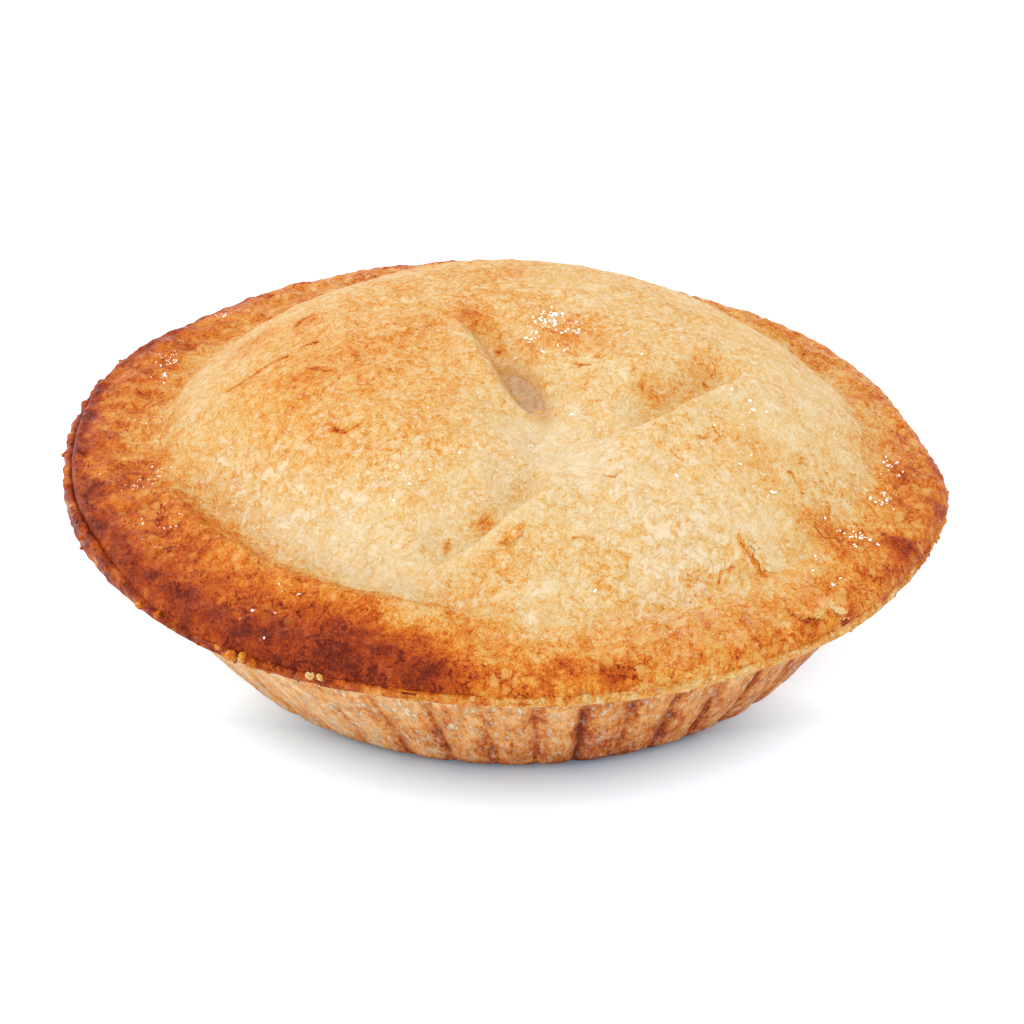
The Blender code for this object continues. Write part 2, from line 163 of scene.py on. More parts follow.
# Places on the lid that are browner or, below 0, paler, some of them with painted shade: x, y, reach,
# all in mm, and how much
TOAST_AND_SHADE_SPOTS = (
    (-20.0, 4.0, 21.0, 0.12), (-32.0, -14.0, 13.0, 0.09), (-12.0, -22.0, 10.0, 0.05),
    (27.0, -14.0, 17.0, -0.04), (6.0, -38.0, 13.0, -0.06), (40.0, -14.0, 9.0, -0.05),
    (-37.0, 13.5, 4.6, 0.20), (-28.0, -7.0, 5.0, 0.08), (-15.0, 0.0, 14.0, 0.04), (-24.0, -22.0, 5.0, 0.08),
    (0.0, 33.0, 16.0, 0.06), (-5.2, 9.7, 3.0, 0.26), (-2.6, 7.0, 3.5, 0.08), (6.5, 7.0, 4.8, 0.12),
    (8.2, 2.2, 4.5, 0.14), (3.5, 1.5, 3.0, 0.06), (2.4, -43.4, 3.6, 0.16), (-2.4, -44.8, 3.0, 0.12),
    (-2.9, -35.2, 1.2, 0.38), (1.8, -30.0, 1.8, 0.12), (-7.6, -37.0, 0.5, 0.40), (-1.0, 3.4, 0.5, 0.45),
    # These four are painted shade on the gentle back face of the right slit
    (21.8, -9.0, 3.4, 0.13), (25.4, -5.0, 3.0, 0.12), (28.4, -0.8, 2.8, 0.15), (19.0, -10.5, 2.8, 0.10),
    (34.0, -20.0, 4.0, 0.14), (42.5, -27.0, 4.0, 0.20), (41.0, -19.0, 3.0, 0.10), (28.0, 6.0, 6.0, 0.06),
    (-38.0, -2.0, 3.0, 0.10), (-29.0, 13.5, 2.5, 0.14), (6.0, -19.0, 8.0, -0.16), (10.0, -33.0, 5.0, -0.08),
    (2.5, -38.0, 2.6, -0.10), (-4.0, -41.2, 2.6, -0.10), (-16.0, -41.0, 8.0, -0.16),
    (-30.0, -34.0, 7.0, -0.12), (-41.0, -18.0, 7.0, -0.08), (-43.0, 14.0, 8.0, -0.06),
    (32.0, -33.0, 5.0, -0.08), (19.0, -28.0, 9.0, -0.04), (-21.0, -56.0, 6.0, 0.12),
    (-33.0, -53.0, 4.0, 0.10), (-10.0, -60.0, 4.0, 0.14), (54.0, -26.5, 2.2, 0.22),
    (51.0, -29.0, 3.0, 0.10), (54.0, -10.0, 3.5, 0.10), (7.0, -57.5, 2.0, 0.18), (14.0, -60.0, 1.8, 0.20),
    (2.0, -53.0, 2.5, 0.10), (4.3, -50.5, 5.0, -0.10), (-13.0, -50.0, 4.5, -0.16), (41.0, -47.5, 2.0, 0.16),
    (-52.0, 36.0, 4.0, 0.10), (-52.4, -11.6, 3.0, 0.12), (-50.0, 23.0, 3.0, 0.08), (27.6, -3.9, 0.35, 0.5),
)
WET_SPOT, DARK_DOT = (7.0, 7.0, 5.0), (1.4, -3.4, 0.8)     # a glossy place, and a dark dot beside the vent
# Fine cracks, several along lifted flakes' edges, painted darker: darker dough and painted shade.
# Plan points along each and its width, in mm, and how much browner
CRACKS = (
    (((30.9, -35.2), (32.6, -36.6), (34.4, -38.6)), 0.42, 0.42),
    (((36.9, -44.2), (39.4, -46.1), (41.2, -45.7)), 0.34, 0.40),
    (((42.6, -43.9), (44.6, -43.8), (45.8, -42.6)), 0.30, 0.26),
    (((25.7, -21.0), (26.6, -21.0), (27.4, -19.7)), 0.26, 0.42),
    (((28.0, -18.1), (28.9, -20.0), (28.5, -21.0)), 0.24, 0.36), (((18.5, -7.9), (18.7, -9.8)), 0.24, 0.34),
    (((9.2, -3.4), (10.0, -4.3), (11.6, -4.0)), 0.26, 0.40), (((13.1, -29.6), (14.6, -29.9)), 0.30, 0.32),
    (((28.2, -41.6), (28.7, -40.2), (30.6, -38.8)), 0.20, 0.36),
    (((-0.9, -42.1), (1.2, -41.4), (2.2, -40.2)), 0.50, 0.24),
    (((-39.2, -1.1), (-36.2, -0.5), (-33.4, 0.7), (-30.8, 2.0)), 0.34, 0.36),
    (((-30.5, 11.9), (-29.5, 14.6), (-27.7, 15.4)), 0.34, 0.36), (((-28.6, 4.2), (-27.0, 4.0)), 0.36, 0.32),
    (((-27.6, -3.1), (-26.2, -3.6), (-25.0, -4.8)), 0.24, 0.38),
    (((-23.8, -17.9), (-22.0, -19.0), (-20.2, -18.4)), 0.30, 0.42),
    (((-8.4, -38.0), (-7.4, -36.2)), 0.22, 0.30), (((17.5, -4.6), (17.1, -7.0)), 0.22, 0.34),
    (((22.0, -24.5), (23.6, -26.0)), 0.22, 0.30), (((38.6, -21.0), (40.4, -23.4)), 0.24, 0.34),
    (((8.6, -40.8), (11.6, -40.4)), 0.24, 0.26),
)
# Where pale skin flakes off most: x, y, reach, all in mm, and how much
PALE_PATCHES = (
    (18.9, -39.0, 8.0, 1.0), (26.0, -38.0, 6.0, 1.0), (33.5, -30.0, 5.0, 0.7), (-33.0, -24.0, 6.0, 1.0),
    (-38.0, -16.0, 5.0, 0.9), (-28.0, -31.0, 6.0, 0.8), (-1.0, -26.0, 4.5, 0.9), (12.5, -28.0, 6.0, 1.0),
    (10.0, -21.0, 6.0, 0.7), (-13.0, -25.0, 6.0, 0.6), (35.4, -35.6, 2.6, 1.2), (43.9, -43.0, 2.0, 1.2),
    (-20.0, -31.0, 5.0, 0.6), (28.0, 6.0, 6.0, 0.6), (36.0, -8.0, 5.0, 0.6), (-24.5, -15.0, 3.0, 0.8),
    (30.0, -52.0, 7.0, 1.0), (42.0, -43.0, 5.0, 1.0), (17.0, -57.0, 5.0, 0.6), (20.0, -60.0, 6.0, 0.6),
    (-36.0, 2.0, 3.0, 0.6), (5.0, -46.0, 5.0, 0.6), (20.0, -48.0, 6.0, 0.6), (-12.0, 8.0, 6.0, 0.4),
)

# Sugar on the lid, whose white grains also stand for glints: x, y, reach, all in mm, and how many grains
SUGAR_AND_GLINTS = (
    (6.0, 8.6, 2.6, 60), (9.6, 5.4, 2.6, 22), (3.6, 3.4, 1.6, 12), (6.6, -0.6, 1.6, 7),
    (-49.8, 23.5, 2.0, 26), (-50.0, 18.0, 1.5, 12), (-42.0, 39.5, 2.0, 10), (-51.5, 3.0, 4.0, 8),
    (-51.0, -13.0, 5.0, 22), (-46.0, -26.0, 5.0, 14), (53.5, -8.0, 2.5, 12), (52.0, -17.0, 3.0, 20),
    (47.0, -26.5, 3.5, 22), (35.0, -26.0, 1.6, 6), (34.0, -11.0, 1.5, 5), (3.0, -20.5, 2.0, 5),
    (-14.0, -31.0, 5.0, 8), (43.0, -36.0, 4.0, 8), (-30.0, -46.0, 6.0, 8), (-5.0, -15.0, 20.0, 12),
    (24.0, -20.0, 16.0, 12),
)

# Flakes that stand out in the lid: x, y, length and width in mm, the degrees from +X that the lifted end
# points to, how far it lifts, in mm, and how brown it is
LOOSE_FLAKES = (
    (35.2, -35.4, 4.6, 5.0, -152.0, 0.16, 0.20), (40.2, -44.6, 2.2, 3.8, -78.0, 0.20, 0.46),
    (44.0, -42.4, 2.0, 2.6, -105.0, 0.16, 0.40), (0.9, -41.0, 1.6, 3.4, -62.0, 0.14, 0.44),
    (43.0, -27.5, 2.2, 3.0, -120.0, 0.12, 0.52),
)
CRUMBS = 320                    # small ones, all along the case's edge
# Larger ones in front: degrees from +X, mm over the flange's underside, size in mm, and how brown
LARGE_CRUMBS = (
    (-124.7, 1.2, 2.0, 0.62), (-123.2, 1.4, 1.7, 0.56), (-121.9, 1.0, 1.5, 0.64), (-127.1, 1.3, 1.2, 0.68),
    (-114.0, 1.4, 1.3, 0.30), (-112.8, 1.5, 1.1, 0.26), (-94.0, 1.4, 1.2, 0.36), (-80.6, 1.4, 1.4, 0.34),
    (-79.2, 1.2, 1.0, 0.30), (-74.0, 1.6, 1.3, 0.58), (-70.5, 1.6, 1.2, 0.48), (-52.5, 1.8, 1.4, 0.50),
    (-47.0, 1.5, 1.2, 0.42), (-137.5, 1.6, 1.4, 0.70), (-141.0, 1.4, 1.2, 0.74), (-33.0, 1.7, 1.3, 0.55),
)
# Flakes and the strips of darker dough and painted shade along cracks: faces along and across,
# and how deep they are sunk in, in mm
FLAKE_CELLS, RIBBON_CELLS = 10, 14
FLAKE_SUNK, RIBBON_SUNK = 0.16, 0.06
FLAKE_THICKNESS = 0.1 * MM

WHITE, WARM_WHITE = (1.0, 1.0, 1.0, 1.0), (1.0, 0.93, 0.80, 1.0)
FLOOR_COLOUR = (0.56, 0.73, 0.88, 1.0)
# The floor's painted shadow: how far its glow fades out from the foot, and to which sides
SHADOW_REACH = 13.0 * MM        # out from the foot
SHADOW_SIDES = (0.82, 0.50)     # full and gone: cosines of the angle from straight in front
CAMERA_AIM = (0.71 * MM, 0.0, 15.9 * MM)
KEY_AT, FILL_AT = (-0.45, 0.25, 0.70), (-0.25, -0.75, 0.35)
LIGHT_SIZE = 0.6

SHARP_ANGLE = math.radians(60.0)
DOME_TOAST = 0.30
DARKEST_TOAST = 0.93            # so that the crust's own unevenness still shows in its darkest places


def length(label, description, value):
    """A size of the pie, given here in mm and kept in metres."""
    return bpy.props.FloatProperty(
        name=label, description=description, default=value * MM, unit="LENGTH", precision=5
    )


def colour(label, description, value):
    """A colour, given here as 0 to 255 for the screen and kept as Blender's linear light."""
    share = np.array(value) / 255.0
    linear = np.where(share < 0.04045, share / 12.92, ((share + 0.055) / 1.055) ** 2.4)
    return bpy.props.FloatVectorProperty(
        name=label, description=description, default=(*linear.tolist(), 1.0), size=4, subtype="COLOR"
    )


def amount(label, description, value):
    return bpy.props.FloatProperty(name=label, description=description, default=value, min=0.0)


def turn(label, description, value):
    """An angle, given here in degrees."""
    return bpy.props.FloatProperty(
        name=label, description=description, default=math.radians(value), subtype="ANGLE"
    )


class PieCaseSizes(bpy.types.PropertyGroup):
    """Sizes of the fluted pastry case."""

    underside: length("Flange underside", "Height of the flange's lower face over the table", 22.4)
    flange: length("Flange thickness", "Thickness of the flange that carries the lid", 1.4)
    lip_height: length("Lip height", "How far the case's edge turns up round the lid", 1.5)
    lip_width: length("Lip width", "Width of the turned-up edge", 1.3)
    top_radius: length("Top radius", "Radius of the wall just below the flange", 58.4)
    foot_radius: length("Foot radius", "Radius of the wall at the table", 42.6)
    bulge: length("Bulge", "How far the wall is round instead of straight", 0.6)
    wall: length("Wall", "Thickness of the wall at its foot", 5.2)
    floor: length("Floor", "Thickness of the floor", 4.6)
    foot_rounding: length("Foot rounding", "Rounding where the wall meets the floor", 1.7)
    lean: length("Lean", "How far the foot lies to the right of the rim", 1.3)
    flutes: bpy.props.IntProperty(name="Flutes", description="Flutes round the wall", default=48, min=8)
    steps: bpy.props.IntProperty(name="Steps", description="Faces round each flute", default=20, min=4)
    phase: turn("Phase", "Where the first valley lies", 2.9)
    flute_depth: length("Flute depth", "Depth of the valleys between the flutes", 1.15)


class PieLidSizes(bpy.types.PropertyGroup):
    """Sizes of the domed pastry lid."""

    thickness: length("Thickness", "Thickness of the lid's pastry", 3.3)
    edge: length("Edge rounding", "Width of the rounded shoulder at the lid's edge", 5.5)
    dome_radius: length("Dome radius", "Radius of the dome's foot", 50.5)
    dome_shift: length("Dome shift", "How far the dome sits to the right", 1.2)
    rise: length("Rise", "Height of the dome over the flange", 15.3)
    fullness: amount("Fullness", "2 is a round cap, more is a flatter top", 3.6)
    saddle: length("Saddle", "Depth of the low place between the slits", 5.0)
    ridge: length("Ridge", "Height of the ridge that the rim rolls up into at the front left", 2.1)
    vent_width: length("Vent width", "Width of the open vent", 2.7)
    vent_length: length("Vent length", "Length of the open vent", 10.4)
    waves: length("Waves", "Height of the dome's uneven waves", 0.34)
    blisters: length("Blisters", "Height of the blisters on the rim", 0.26)
    grain: length("Grain", "Height of the crust's grain", 0.09)


class PieColours(bpy.types.PropertyGroup):
    """Colours of the baked pastry, from pale to dark, and of what is on and in it."""

    cream: colour("Cream", "Palest pastry", (211, 194, 160))
    straw: colour("Straw", "Pale pastry", (207, 178, 130))
    gold: colour("Gold", "Golden pastry", (202, 157, 90))
    amber: colour("Amber", "Well baked pastry", (198, 129, 46))
    orange: colour("Orange", "Orange brown pastry", (186, 94, 20))
    rust: colour("Rust", "Brown pastry", (150, 55, 9))
    mahogany: colour("Mahogany", "Darkest pastry", (90, 22, 5))
    flour: colour("Flour", "Floury specks on lid and wall", (219, 202, 172))
    wall_pale: colour("Pale wall", "Wall where the tin shaded it", (220, 170, 118))
    wall_tan: colour("Tan wall", "Wall over most of its height", (208, 138, 70))
    wall_brown: colour("Brown wall", "Wall in the valleys", (172, 80, 20))
    wall_dark: colour("Dark wall", "Wall at the foot", (114, 42, 9))
    filling: colour("Filling", "Damp lemon filling in the vent", (176, 130, 84))
    zest: colour("Zest", "Yellow flecks in the filling", (214, 150, 40))


class PieStudio(bpy.types.PropertyGroup):
    """Camera and light."""

    distance: length("Camera distance", "From the camera to the pie", 600.0)
    elevation: turn("Elevation", "Camera above level", 29.77)
    focal: amount("Focal length", "Lens in mm, for a 36 mm sensor", 147.7)
    surround: amount("Surround", "Light from all round", 1.4)
    key: amount("Key", "Power of the large soft light", 1.6)
    fill: amount("Fill", "Power of the front fill", 1.2)
    floor_glow: amount("Floor glow", "Light that comes up through the floor", 0.55)


# Shapes

def smooth(low, high, value):
    """0 below low, 1 above high, and a smooth ramp between them."""
    share = np.clip((value - low) / (high - low), 0.0, 1.0)
    return share * share * (3.0 - 2.0 * share)


def bell(offset, width):
    """1 where offset is 0, and fading to both sides over about width."""
    return np.exp(-((offset / width) ** 2))


def at_spot(x, y, spot_x, spot_y, reach):
    """1 at a spot and fading around it, for plan points in metres. The spot and its reach are in mm."""
    return bell(np.hypot(x / MM - spot_x, y / MM - spot_y), reach)


def turn_between(angle, middle):
    """The angle from middle, wrapped to lie between minus and plus a half turn."""
    return (angle - middle + np.pi) % FULL_TURN - np.pi


def towards(angle, side):
    """1 in a direction round the pie and fading to both sides, both given in degrees."""
    middle, spread = np.radians(side)
    return bell(turn_between(angle, middle), spread)


def within(angle, side):
    """1 up to some degrees to both sides of a direction round the pie, and 0 past some more."""
    middle, ends = side
    return 1.0 - smooth(*np.radians(ends), np.abs(turn_between(angle, math.radians(middle))))


def polar(x, y):
    return np.hypot(x, y), np.arctan2(y, x)


def across_and_along(x, y, middle, turn):
    """How far plan points lie from a middle, across and along an axis turned to the left from +Y."""
    off_x, off_y = x - middle[0], y - middle[1]
    return off_x * np.cos(turn) + off_y * np.sin(turn), -off_x * np.sin(turn) + off_y * np.cos(turn)


def waves(x, y, z, size, seed):
    """Smooth noise between about -1 and 1, with features of about that size, at points in metres."""
    dice = np.random.default_rng(seed)
    slopes = dice.normal(size=(512, 3))
    slopes /= np.linalg.norm(slopes, axis=1)[:, None]
    order = dice.permutation(512)
    start = dice.uniform(50.0, 90.0, 3)
    place = [axis / size + start[number] for number, axis in enumerate((x, y, z))]
    cell = [np.floor(axis).astype(int) for axis in place]
    part = [axis - low for axis, low in zip(place, cell)]
    ease = [share ** 3 * (share * (share * 6.0 - 15.0) + 10.0) for share in part]
    total = 0.0
    for corner in itertools.product((0, 1), repeat=3):
        pick = 0
        weight = 1.0
        for number, step in enumerate(corner):
            pick = order[(pick + cell[number] + step) % 512]
            weight = weight * (ease[number] if step else 1.0 - ease[number])
        slope = slopes[pick]
        rise = sum(slope[..., number] * (part[number] - step) for number, step in enumerate(corner))
        total = total + rise * weight
    return 1.7 * total


def plan_waves(x, y, size, seed):
    """The same noise over plan points alone, with features of about size mm."""
    return waves(x, y, np.zeros(np.shape(x)), size * MM, seed)


def rim_waves(angle, z, size, seed):
    """The same noise round the rim, with features of about size mm."""
    return waves(RIM_RADIUS * np.cos(angle), RIM_RADIUS * np.sin(angle), z, size * MM, seed)


def cells(x, y, size, seed):
    """Uneven cells: each plan point's distance to the nearest middle, in sizes, and the cell's number."""
    dice = np.random.default_rng(seed)
    table = dice.random((3, 1024))
    order = dice.permutation(1024)
    column, row = np.floor(x / size).astype(int), np.floor(y / size).astype(int)
    nearest = np.full(np.shape(x), np.inf)
    own = np.zeros(np.shape(x))
    for step_x, step_y in itertools.product((-1, 0, 1), repeat=2):
        pick = order[(order[(column + step_x) % 1024] + row + step_y) % 1024]
        middle_x = (column + step_x + table[0][pick]) * size
        middle_y = (row + step_y + table[1][pick]) * size
        distance = np.hypot(x - middle_x, y - middle_y) / size
        nearer = distance < nearest
        nearest = np.where(nearer, distance, nearest)
        own = np.where(nearer, table[2][pick], own)
    return nearest, own


def flange_top(case):
    return case.underside + case.flange


def wall_radius(case, height):
    """Outer radius of the case's wall at a height over the table."""
    share = height / case.underside
    straight = case.foot_radius + (case.top_radius - case.foot_radius) * share
    return straight + case.bulge * np.sin(np.pi * share)


def lean(case, height):
    """How far to the right the case and the filling lie at a height over the table."""
    return case.lean * (1.0 - smooth(0.0, case.underside, height))


def outline(angle):
    """Radius of the rim's edge as a share of RIM_RADIUS: flat at the back right."""
    degrees = np.degrees(angle)
    flat = RIM_FLAT * smooth(*FLAT_FROM, degrees) * (1.0 - smooth(*FLAT_TO, degrees))
    waver = RIM_WAVER * (np.sin(5.0 * angle + 0.6) + 0.7 * np.sin(9.0 * angle + 2.0))
    return (RIM_RADIUS - flat + waver) / RIM_RADIUS


def rim_lift(angle):
    """How much higher the rim lies than its mean height: most at the left."""
    return RIM_TILT * np.cos(angle - TILT_TOWARDS)


def groove_share(angle):
    """1 at the left, where the case's edge stands clear of the lid, and 0 where the two are sealed."""
    return within(angle, GROOVE_SIDE)


def ridge_share(angle):
    """1 along the ridge at the front left, fading to 0 past its ends."""
    return within(angle, RIDGE_SIDE)


def dome_foot(lid, angle):
    """Radius at which the dome of the lid meets the flange."""
    even = lid.dome_radius + lid.dome_shift * np.cos(angle)
    return even - DENT * towards(angle, DENT_SIDE) - RIDGE_PULL * ridge_share(angle)


def along_path(x, y, points):
    """For plan points: distance to a path, their side of it (left is 1), and the share of the path run."""
    nearest = np.full(np.shape(x), np.inf)
    side = np.zeros(np.shape(x))
    share = np.zeros(np.shape(x))
    corners = np.array(points)
    lengths = np.hypot(*(corners[1:] - corners[:-1]).T)
    run = np.concatenate([[0.0], np.cumsum(lengths)]) / lengths.sum()
    for number, stretch in enumerate(lengths):
        start = corners[number]
        along = (corners[number + 1] - start) / stretch
        off_x, off_y = x - start[0], y - start[1]
        reach = np.clip(off_x * along[0] + off_y * along[1], 0.0, stretch)
        distance = np.hypot(off_x - reach * along[0], off_y - reach * along[1])
        nearer = distance < nearest
        nearest = np.where(nearer, distance, nearest)
        side = np.where(nearer, np.sign(along[0] * off_y - along[1] * off_x), side)
        run_here = run[number] + reach / stretch * (run[number + 1] - run[number])
        share = np.where(nearer, run_here, share)
    return nearest, side, share


def crease_depth(x, y, crease, spread):
    """How far one crease, its sides wider by spread mm, presses the lid down at plan points in metres."""
    off, side, share = along_path(x / MM, y / MM, crease["points"])
    steep = side == crease["steep_side"]
    width = spread + np.where(steep, crease["steep"], crease["gentle"])
    fade = smooth(0.0, CREASE_FADE, share) * (1.0 - smooth(1.0 - CREASE_FADE, 1.0, share))
    pressed = bell(off, width) * (CREASE_END + (1.0 - CREASE_END) * fade)
    lip = LIP_SHARE * fade * np.where(steep, bell(off - LIP_OFFSET, LIP_SPREAD), 0.0)
    return crease["depth"] * MM * (pressed - lip)


def creases_depth(x, y, spread):
    return sum(crease_depth(x, y, crease, spread) for crease in CREASES.values())


def saddle_depth(lid, x, y):
    """How far the low place between the slits lies below the dome, at plan points in metres."""
    across, along = across_and_along(x / MM, y / MM, SADDLE_AT, SADDLE_TURN)
    return lid.saddle * bell(np.hypot(across / SADDLE_REACH[0], along / SADDLE_REACH[1]), 1.0)


def dome(lid, x, y):
    """Height of the dome above the flange, without its creases, at plan points in metres."""
    radius, angle = polar(x, y)
    share = np.clip(radius / dome_foot(lid, angle), 0.0, 1.0)
    rise = lid.rise * (1.0 - share ** lid.fullness)
    return np.maximum(rise - saddle_depth(lid, x, y) * smooth(0.0, SADDLE_FADE, rise), 0.0)


def underside_dip(x, y):
    """How far the creases press the lid's underside down."""
    return UNDERSIDE_SHARE * creases_depth(x, y, UNDERSIDE_SPREAD)


def vent_distance(lid, x, y):
    """How far plan points lie outside the vent's edge, in metres, and below 0 inside it."""
    across, along = across_and_along(x, y, VENT_AT, VENT_TURN)
    size = np.hypot(across / (0.5 * lid.vent_width), along / (0.5 * lid.vent_length))
    return (size - 1.0) * 0.5 * lid.vent_width


def rim_share(lid, x, y):
    """0 on the dome, and 1 from a few mm outside the dome's foot on."""
    radius, angle = polar(x, y)
    foot = dome_foot(lid, angle)
    soft = RIM_SOFT - RIDGE_SHARP * ridge_share(angle)
    return smooth(foot - soft, foot + soft, radius)


def blisters(x, y, size, seed, bare, width):
    """Round blisters, 1 high, in cells of about size mm. A share of the cells stays bare."""
    off, own = cells(x, y, size * MM, seed)
    return np.where(own > bare, np.clip(1.0 - (off / width) ** 2, 0.0, 1.0), 0.0)


def crust_relief(lid, x, y):
    """The lid's unevenness: waves and thin steps on the dome, blisters and pits on the rim, and grain."""
    on_rim = rim_share(lid, x, y)
    broad = plan_waves(x, y, 9.0, 11) + 0.55 * plan_waves(x, y, 4.2, 12)
    warp = 1.1 * MM * plan_waves(x, y, 2.6, 13)
    step = cells(x + warp, 1.35 * (y - warp), 3.2 * MM, 14)[1] - 0.5
    small_step = cells(x - warp, 1.5 * (y + warp), 1.5 * MM, 15)[1] - 0.5
    grain = plan_waves(x, y, 1.3, 16) + 0.7 * plan_waves(x, y, 0.8, 17)
    small = blisters(x, y, 1.7, 18, 0.4, 0.55)
    large = blisters(x + warp, y, 3.4, 19, 0.55, 0.5)
    bubbles = lid.blisters * (small + 0.9 * large + 0.9 * plan_waves(x, y, 2.2, 20))
    calm = 1.0 - 0.75 * bell(np.maximum(vent_distance(lid, x, y), 0.0), 3.0 * MM)
    lumps = (0.30 + 0.35 * towards(np.arctan2(y, x), LUMPY_SIDE)) * MM * plan_waves(x, y, 3.6, 23)
    fine = grain + LID_STEPS * step + LID_STEPS * small_step
    skin = lid.waves * broad * (1.0 - 0.3 * on_rim) + lid.grain * fine
    return calm * (skin + on_rim * (bubbles + lumps))


def lid_relief(lid, x, y):
    """What the lid's top has over the dome: ridge, fillet, creases, the vent's rolled edge and relief."""
    radius, angle = polar(x, y)
    ridge = lid.ridge * ridge_share(angle) * bell(radius - RIDGE_RADIUS, RIDGE_WIDTH)
    fillet = FILLET * (1.0 - ridge_share(angle)) * bell(radius - dome_foot(lid, angle), FILLET_WIDTH)
    roll = VENT_ROLL * (1.0 - smooth(0.0, VENT_ROLL_WIDTH, vent_distance(lid, x, y)))
    low = LOW_SHOULDER * towards(angle, LOW_SIDE)
    low = low * smooth(*LOW_FROM, radius) * (1.0 - smooth(*LOW_TO, radius))
    return ridge + fillet - creases_depth(x, y, 0.0) - roll - low + crust_relief(lid, x, y)


def rim_toast(angle, share):
    """How brown the rim is, with painted shade in the groove. share runs from 0 at the dome's foot
    to 3 on the case's turned-up edge.
    """
    rows = np.array(RIM_TOAST_AND_SHADE, float)
    degrees = np.degrees(angle)
    tones = [np.interp(degrees, rows[:, 0], rows[:, column], period=360.0) for column in (1, 2, 3, 4)]
    low = np.clip(np.floor(share).astype(int), 0, 2)
    part = np.clip(share - low, 0.0, 1.0)
    return np.choose(low, tones[:3]) * (1.0 - part) + np.choose(low, tones[1:]) * part


def lid_toast(lid, x, y):
    """How brown the lid is at plan points in metres, from 0, cream, to 1, mahogany, with painted shade
    in the rim's groove, along the cracks and on the right slit's back face.
    """
    radius, angle = polar(x, y)
    foot = dome_foot(lid, angle)
    wander = 2.2 * MM * plan_waves(x, y, 6.0, 31) * (1.0 - 0.8 * ridge_share(angle))
    out = radius + wander - foot
    width = RIM_RADIUS - foot
    # At its edge the lid takes the groove's tone, which holds painted shade
    rim = rim_toast(angle, np.clip(out / (0.5 * width), 0.0, 1.0) + smooth(0.62 * width, 0.86 * width, out))
    tone = DOME_TOAST + 0.05 * plan_waves(x, y, 11.0, 32)
    back_right = towards(angle, LUMPY_SIDE)
    sharp = 3.4 * MM * ridge_share(angle) * (1.0 - 0.75 * towards(angle, BROAD_SIDE))
    soft = 5.0 * MM - sharp - 3.6 * MM * back_right
    on_rim = smooth(-soft, soft, out + 1.0 * MM * (1.0 - ridge_share(angle)) * (1.0 - back_right))
    tone = tone + (rim - tone) * on_rim
    for *spot, change in TOAST_AND_SHADE_SPOTS:
        tone = tone + change * at_spot(x, y, *spot)
    jitter_x, jitter_y = (0.35 * plan_waves(x, y, 1.2, seed) for seed in (35, 36))
    # Cracks are painted browner, for darker dough and painted shade along them and under the flakes' edges
    for points, width, change in CRACKS:
        off, _, _ = along_path(x / MM + jitter_x, y / MM + jitter_y, points)
        tone = tone + 0.9 * change * bell(off, width)
    ragged = plan_waves(x, y, 3.0, 33) + 0.6 * plan_waves(x, y, 1.5, 34)
    return np.clip(tone + (0.02 + 0.04 * on_rim) * ragged, 0.0, DARKEST_TOAST)


def points_of(piece):
    """The x, y and z of a piece's points, as three arrays."""
    points = np.empty(len(piece.data.vertices) * 3)
    piece.data.vertices.foreach_get("co", points)
    return points.reshape(-1, 3).T


def move_points(piece, x, y, z):
    piece.data.vertices.foreach_set("co", np.stack([x, y, z], axis=1).ravel())
    piece.data.update()


def paint(piece, **tones):
    """Keeps a number of each name for each point of a piece, which its material reads."""
    for name, values in tones.items():
        values = np.broadcast_to(np.asarray(values, np.float32), len(piece.data.vertices))
        piece.data.attributes.new(name, "FLOAT", "POINT").data.foreach_set("value", values)


def paint_place(piece, name, x, y, z):
    """Keeps a place for each point of a piece, on which its material lays its pattern."""
    places = piece.data.attributes.new(name, "FLOAT_VECTOR", "POINT")
    places.data.foreach_set("vector", np.stack([x, y, z], axis=1).astype(np.float32).ravel())


def leave_only(piece):
    """Deselects everything but one piece, which becomes the active one."""
    bpy.ops.object.select_all(action="DESELECT")
    piece.select_set(True)
    bpy.context.view_layer.objects.active = piece


@contextlib.contextmanager
def edit_mode(select="DESELECT"):
    """Edits the active piece, first by edges, with all or nothing selected."""
    bpy.ops.object.mode_set(mode="EDIT")
    bpy.ops.mesh.select_mode(type="EDGE")
    bpy.ops.mesh.select_all(action=select)
    yield
    bpy.ops.object.mode_set(mode="OBJECT")


def added(add, **options):
    """The object that an operator adds, with nothing else selected."""
    bpy.ops.object.select_all(action="DESELECT")
    add(**options)
    return bpy.context.object


def modify(piece, kind, **settings):
    """Puts a modifier on a piece and applies it."""
    modifier = piece.modifiers.new(kind, kind)
    for name, value in settings.items():
        setattr(modifier, name, value)
    leave_only(piece)
    bpy.ops.object.modifier_apply(modifier=modifier.name)


def wear(piece, make, *inputs):
    """Gives a piece the material that a function makes, and makes it only once."""
    piece.data.materials.append(bpy.data.materials.get(make.__name__) or make(*inputs))


def finish_piece(piece, slot, *nodes):
    """Smooths a finished piece, hides the parts that it stands for, and lets it ride on the pie.
    Its slot is not used.
    """
    leave_only(piece)
    bpy.ops.object.shade_smooth_by_angle(angle=SHARP_ANGLE)
    if nodes:
        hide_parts(*nodes)
    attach(piece, "root")


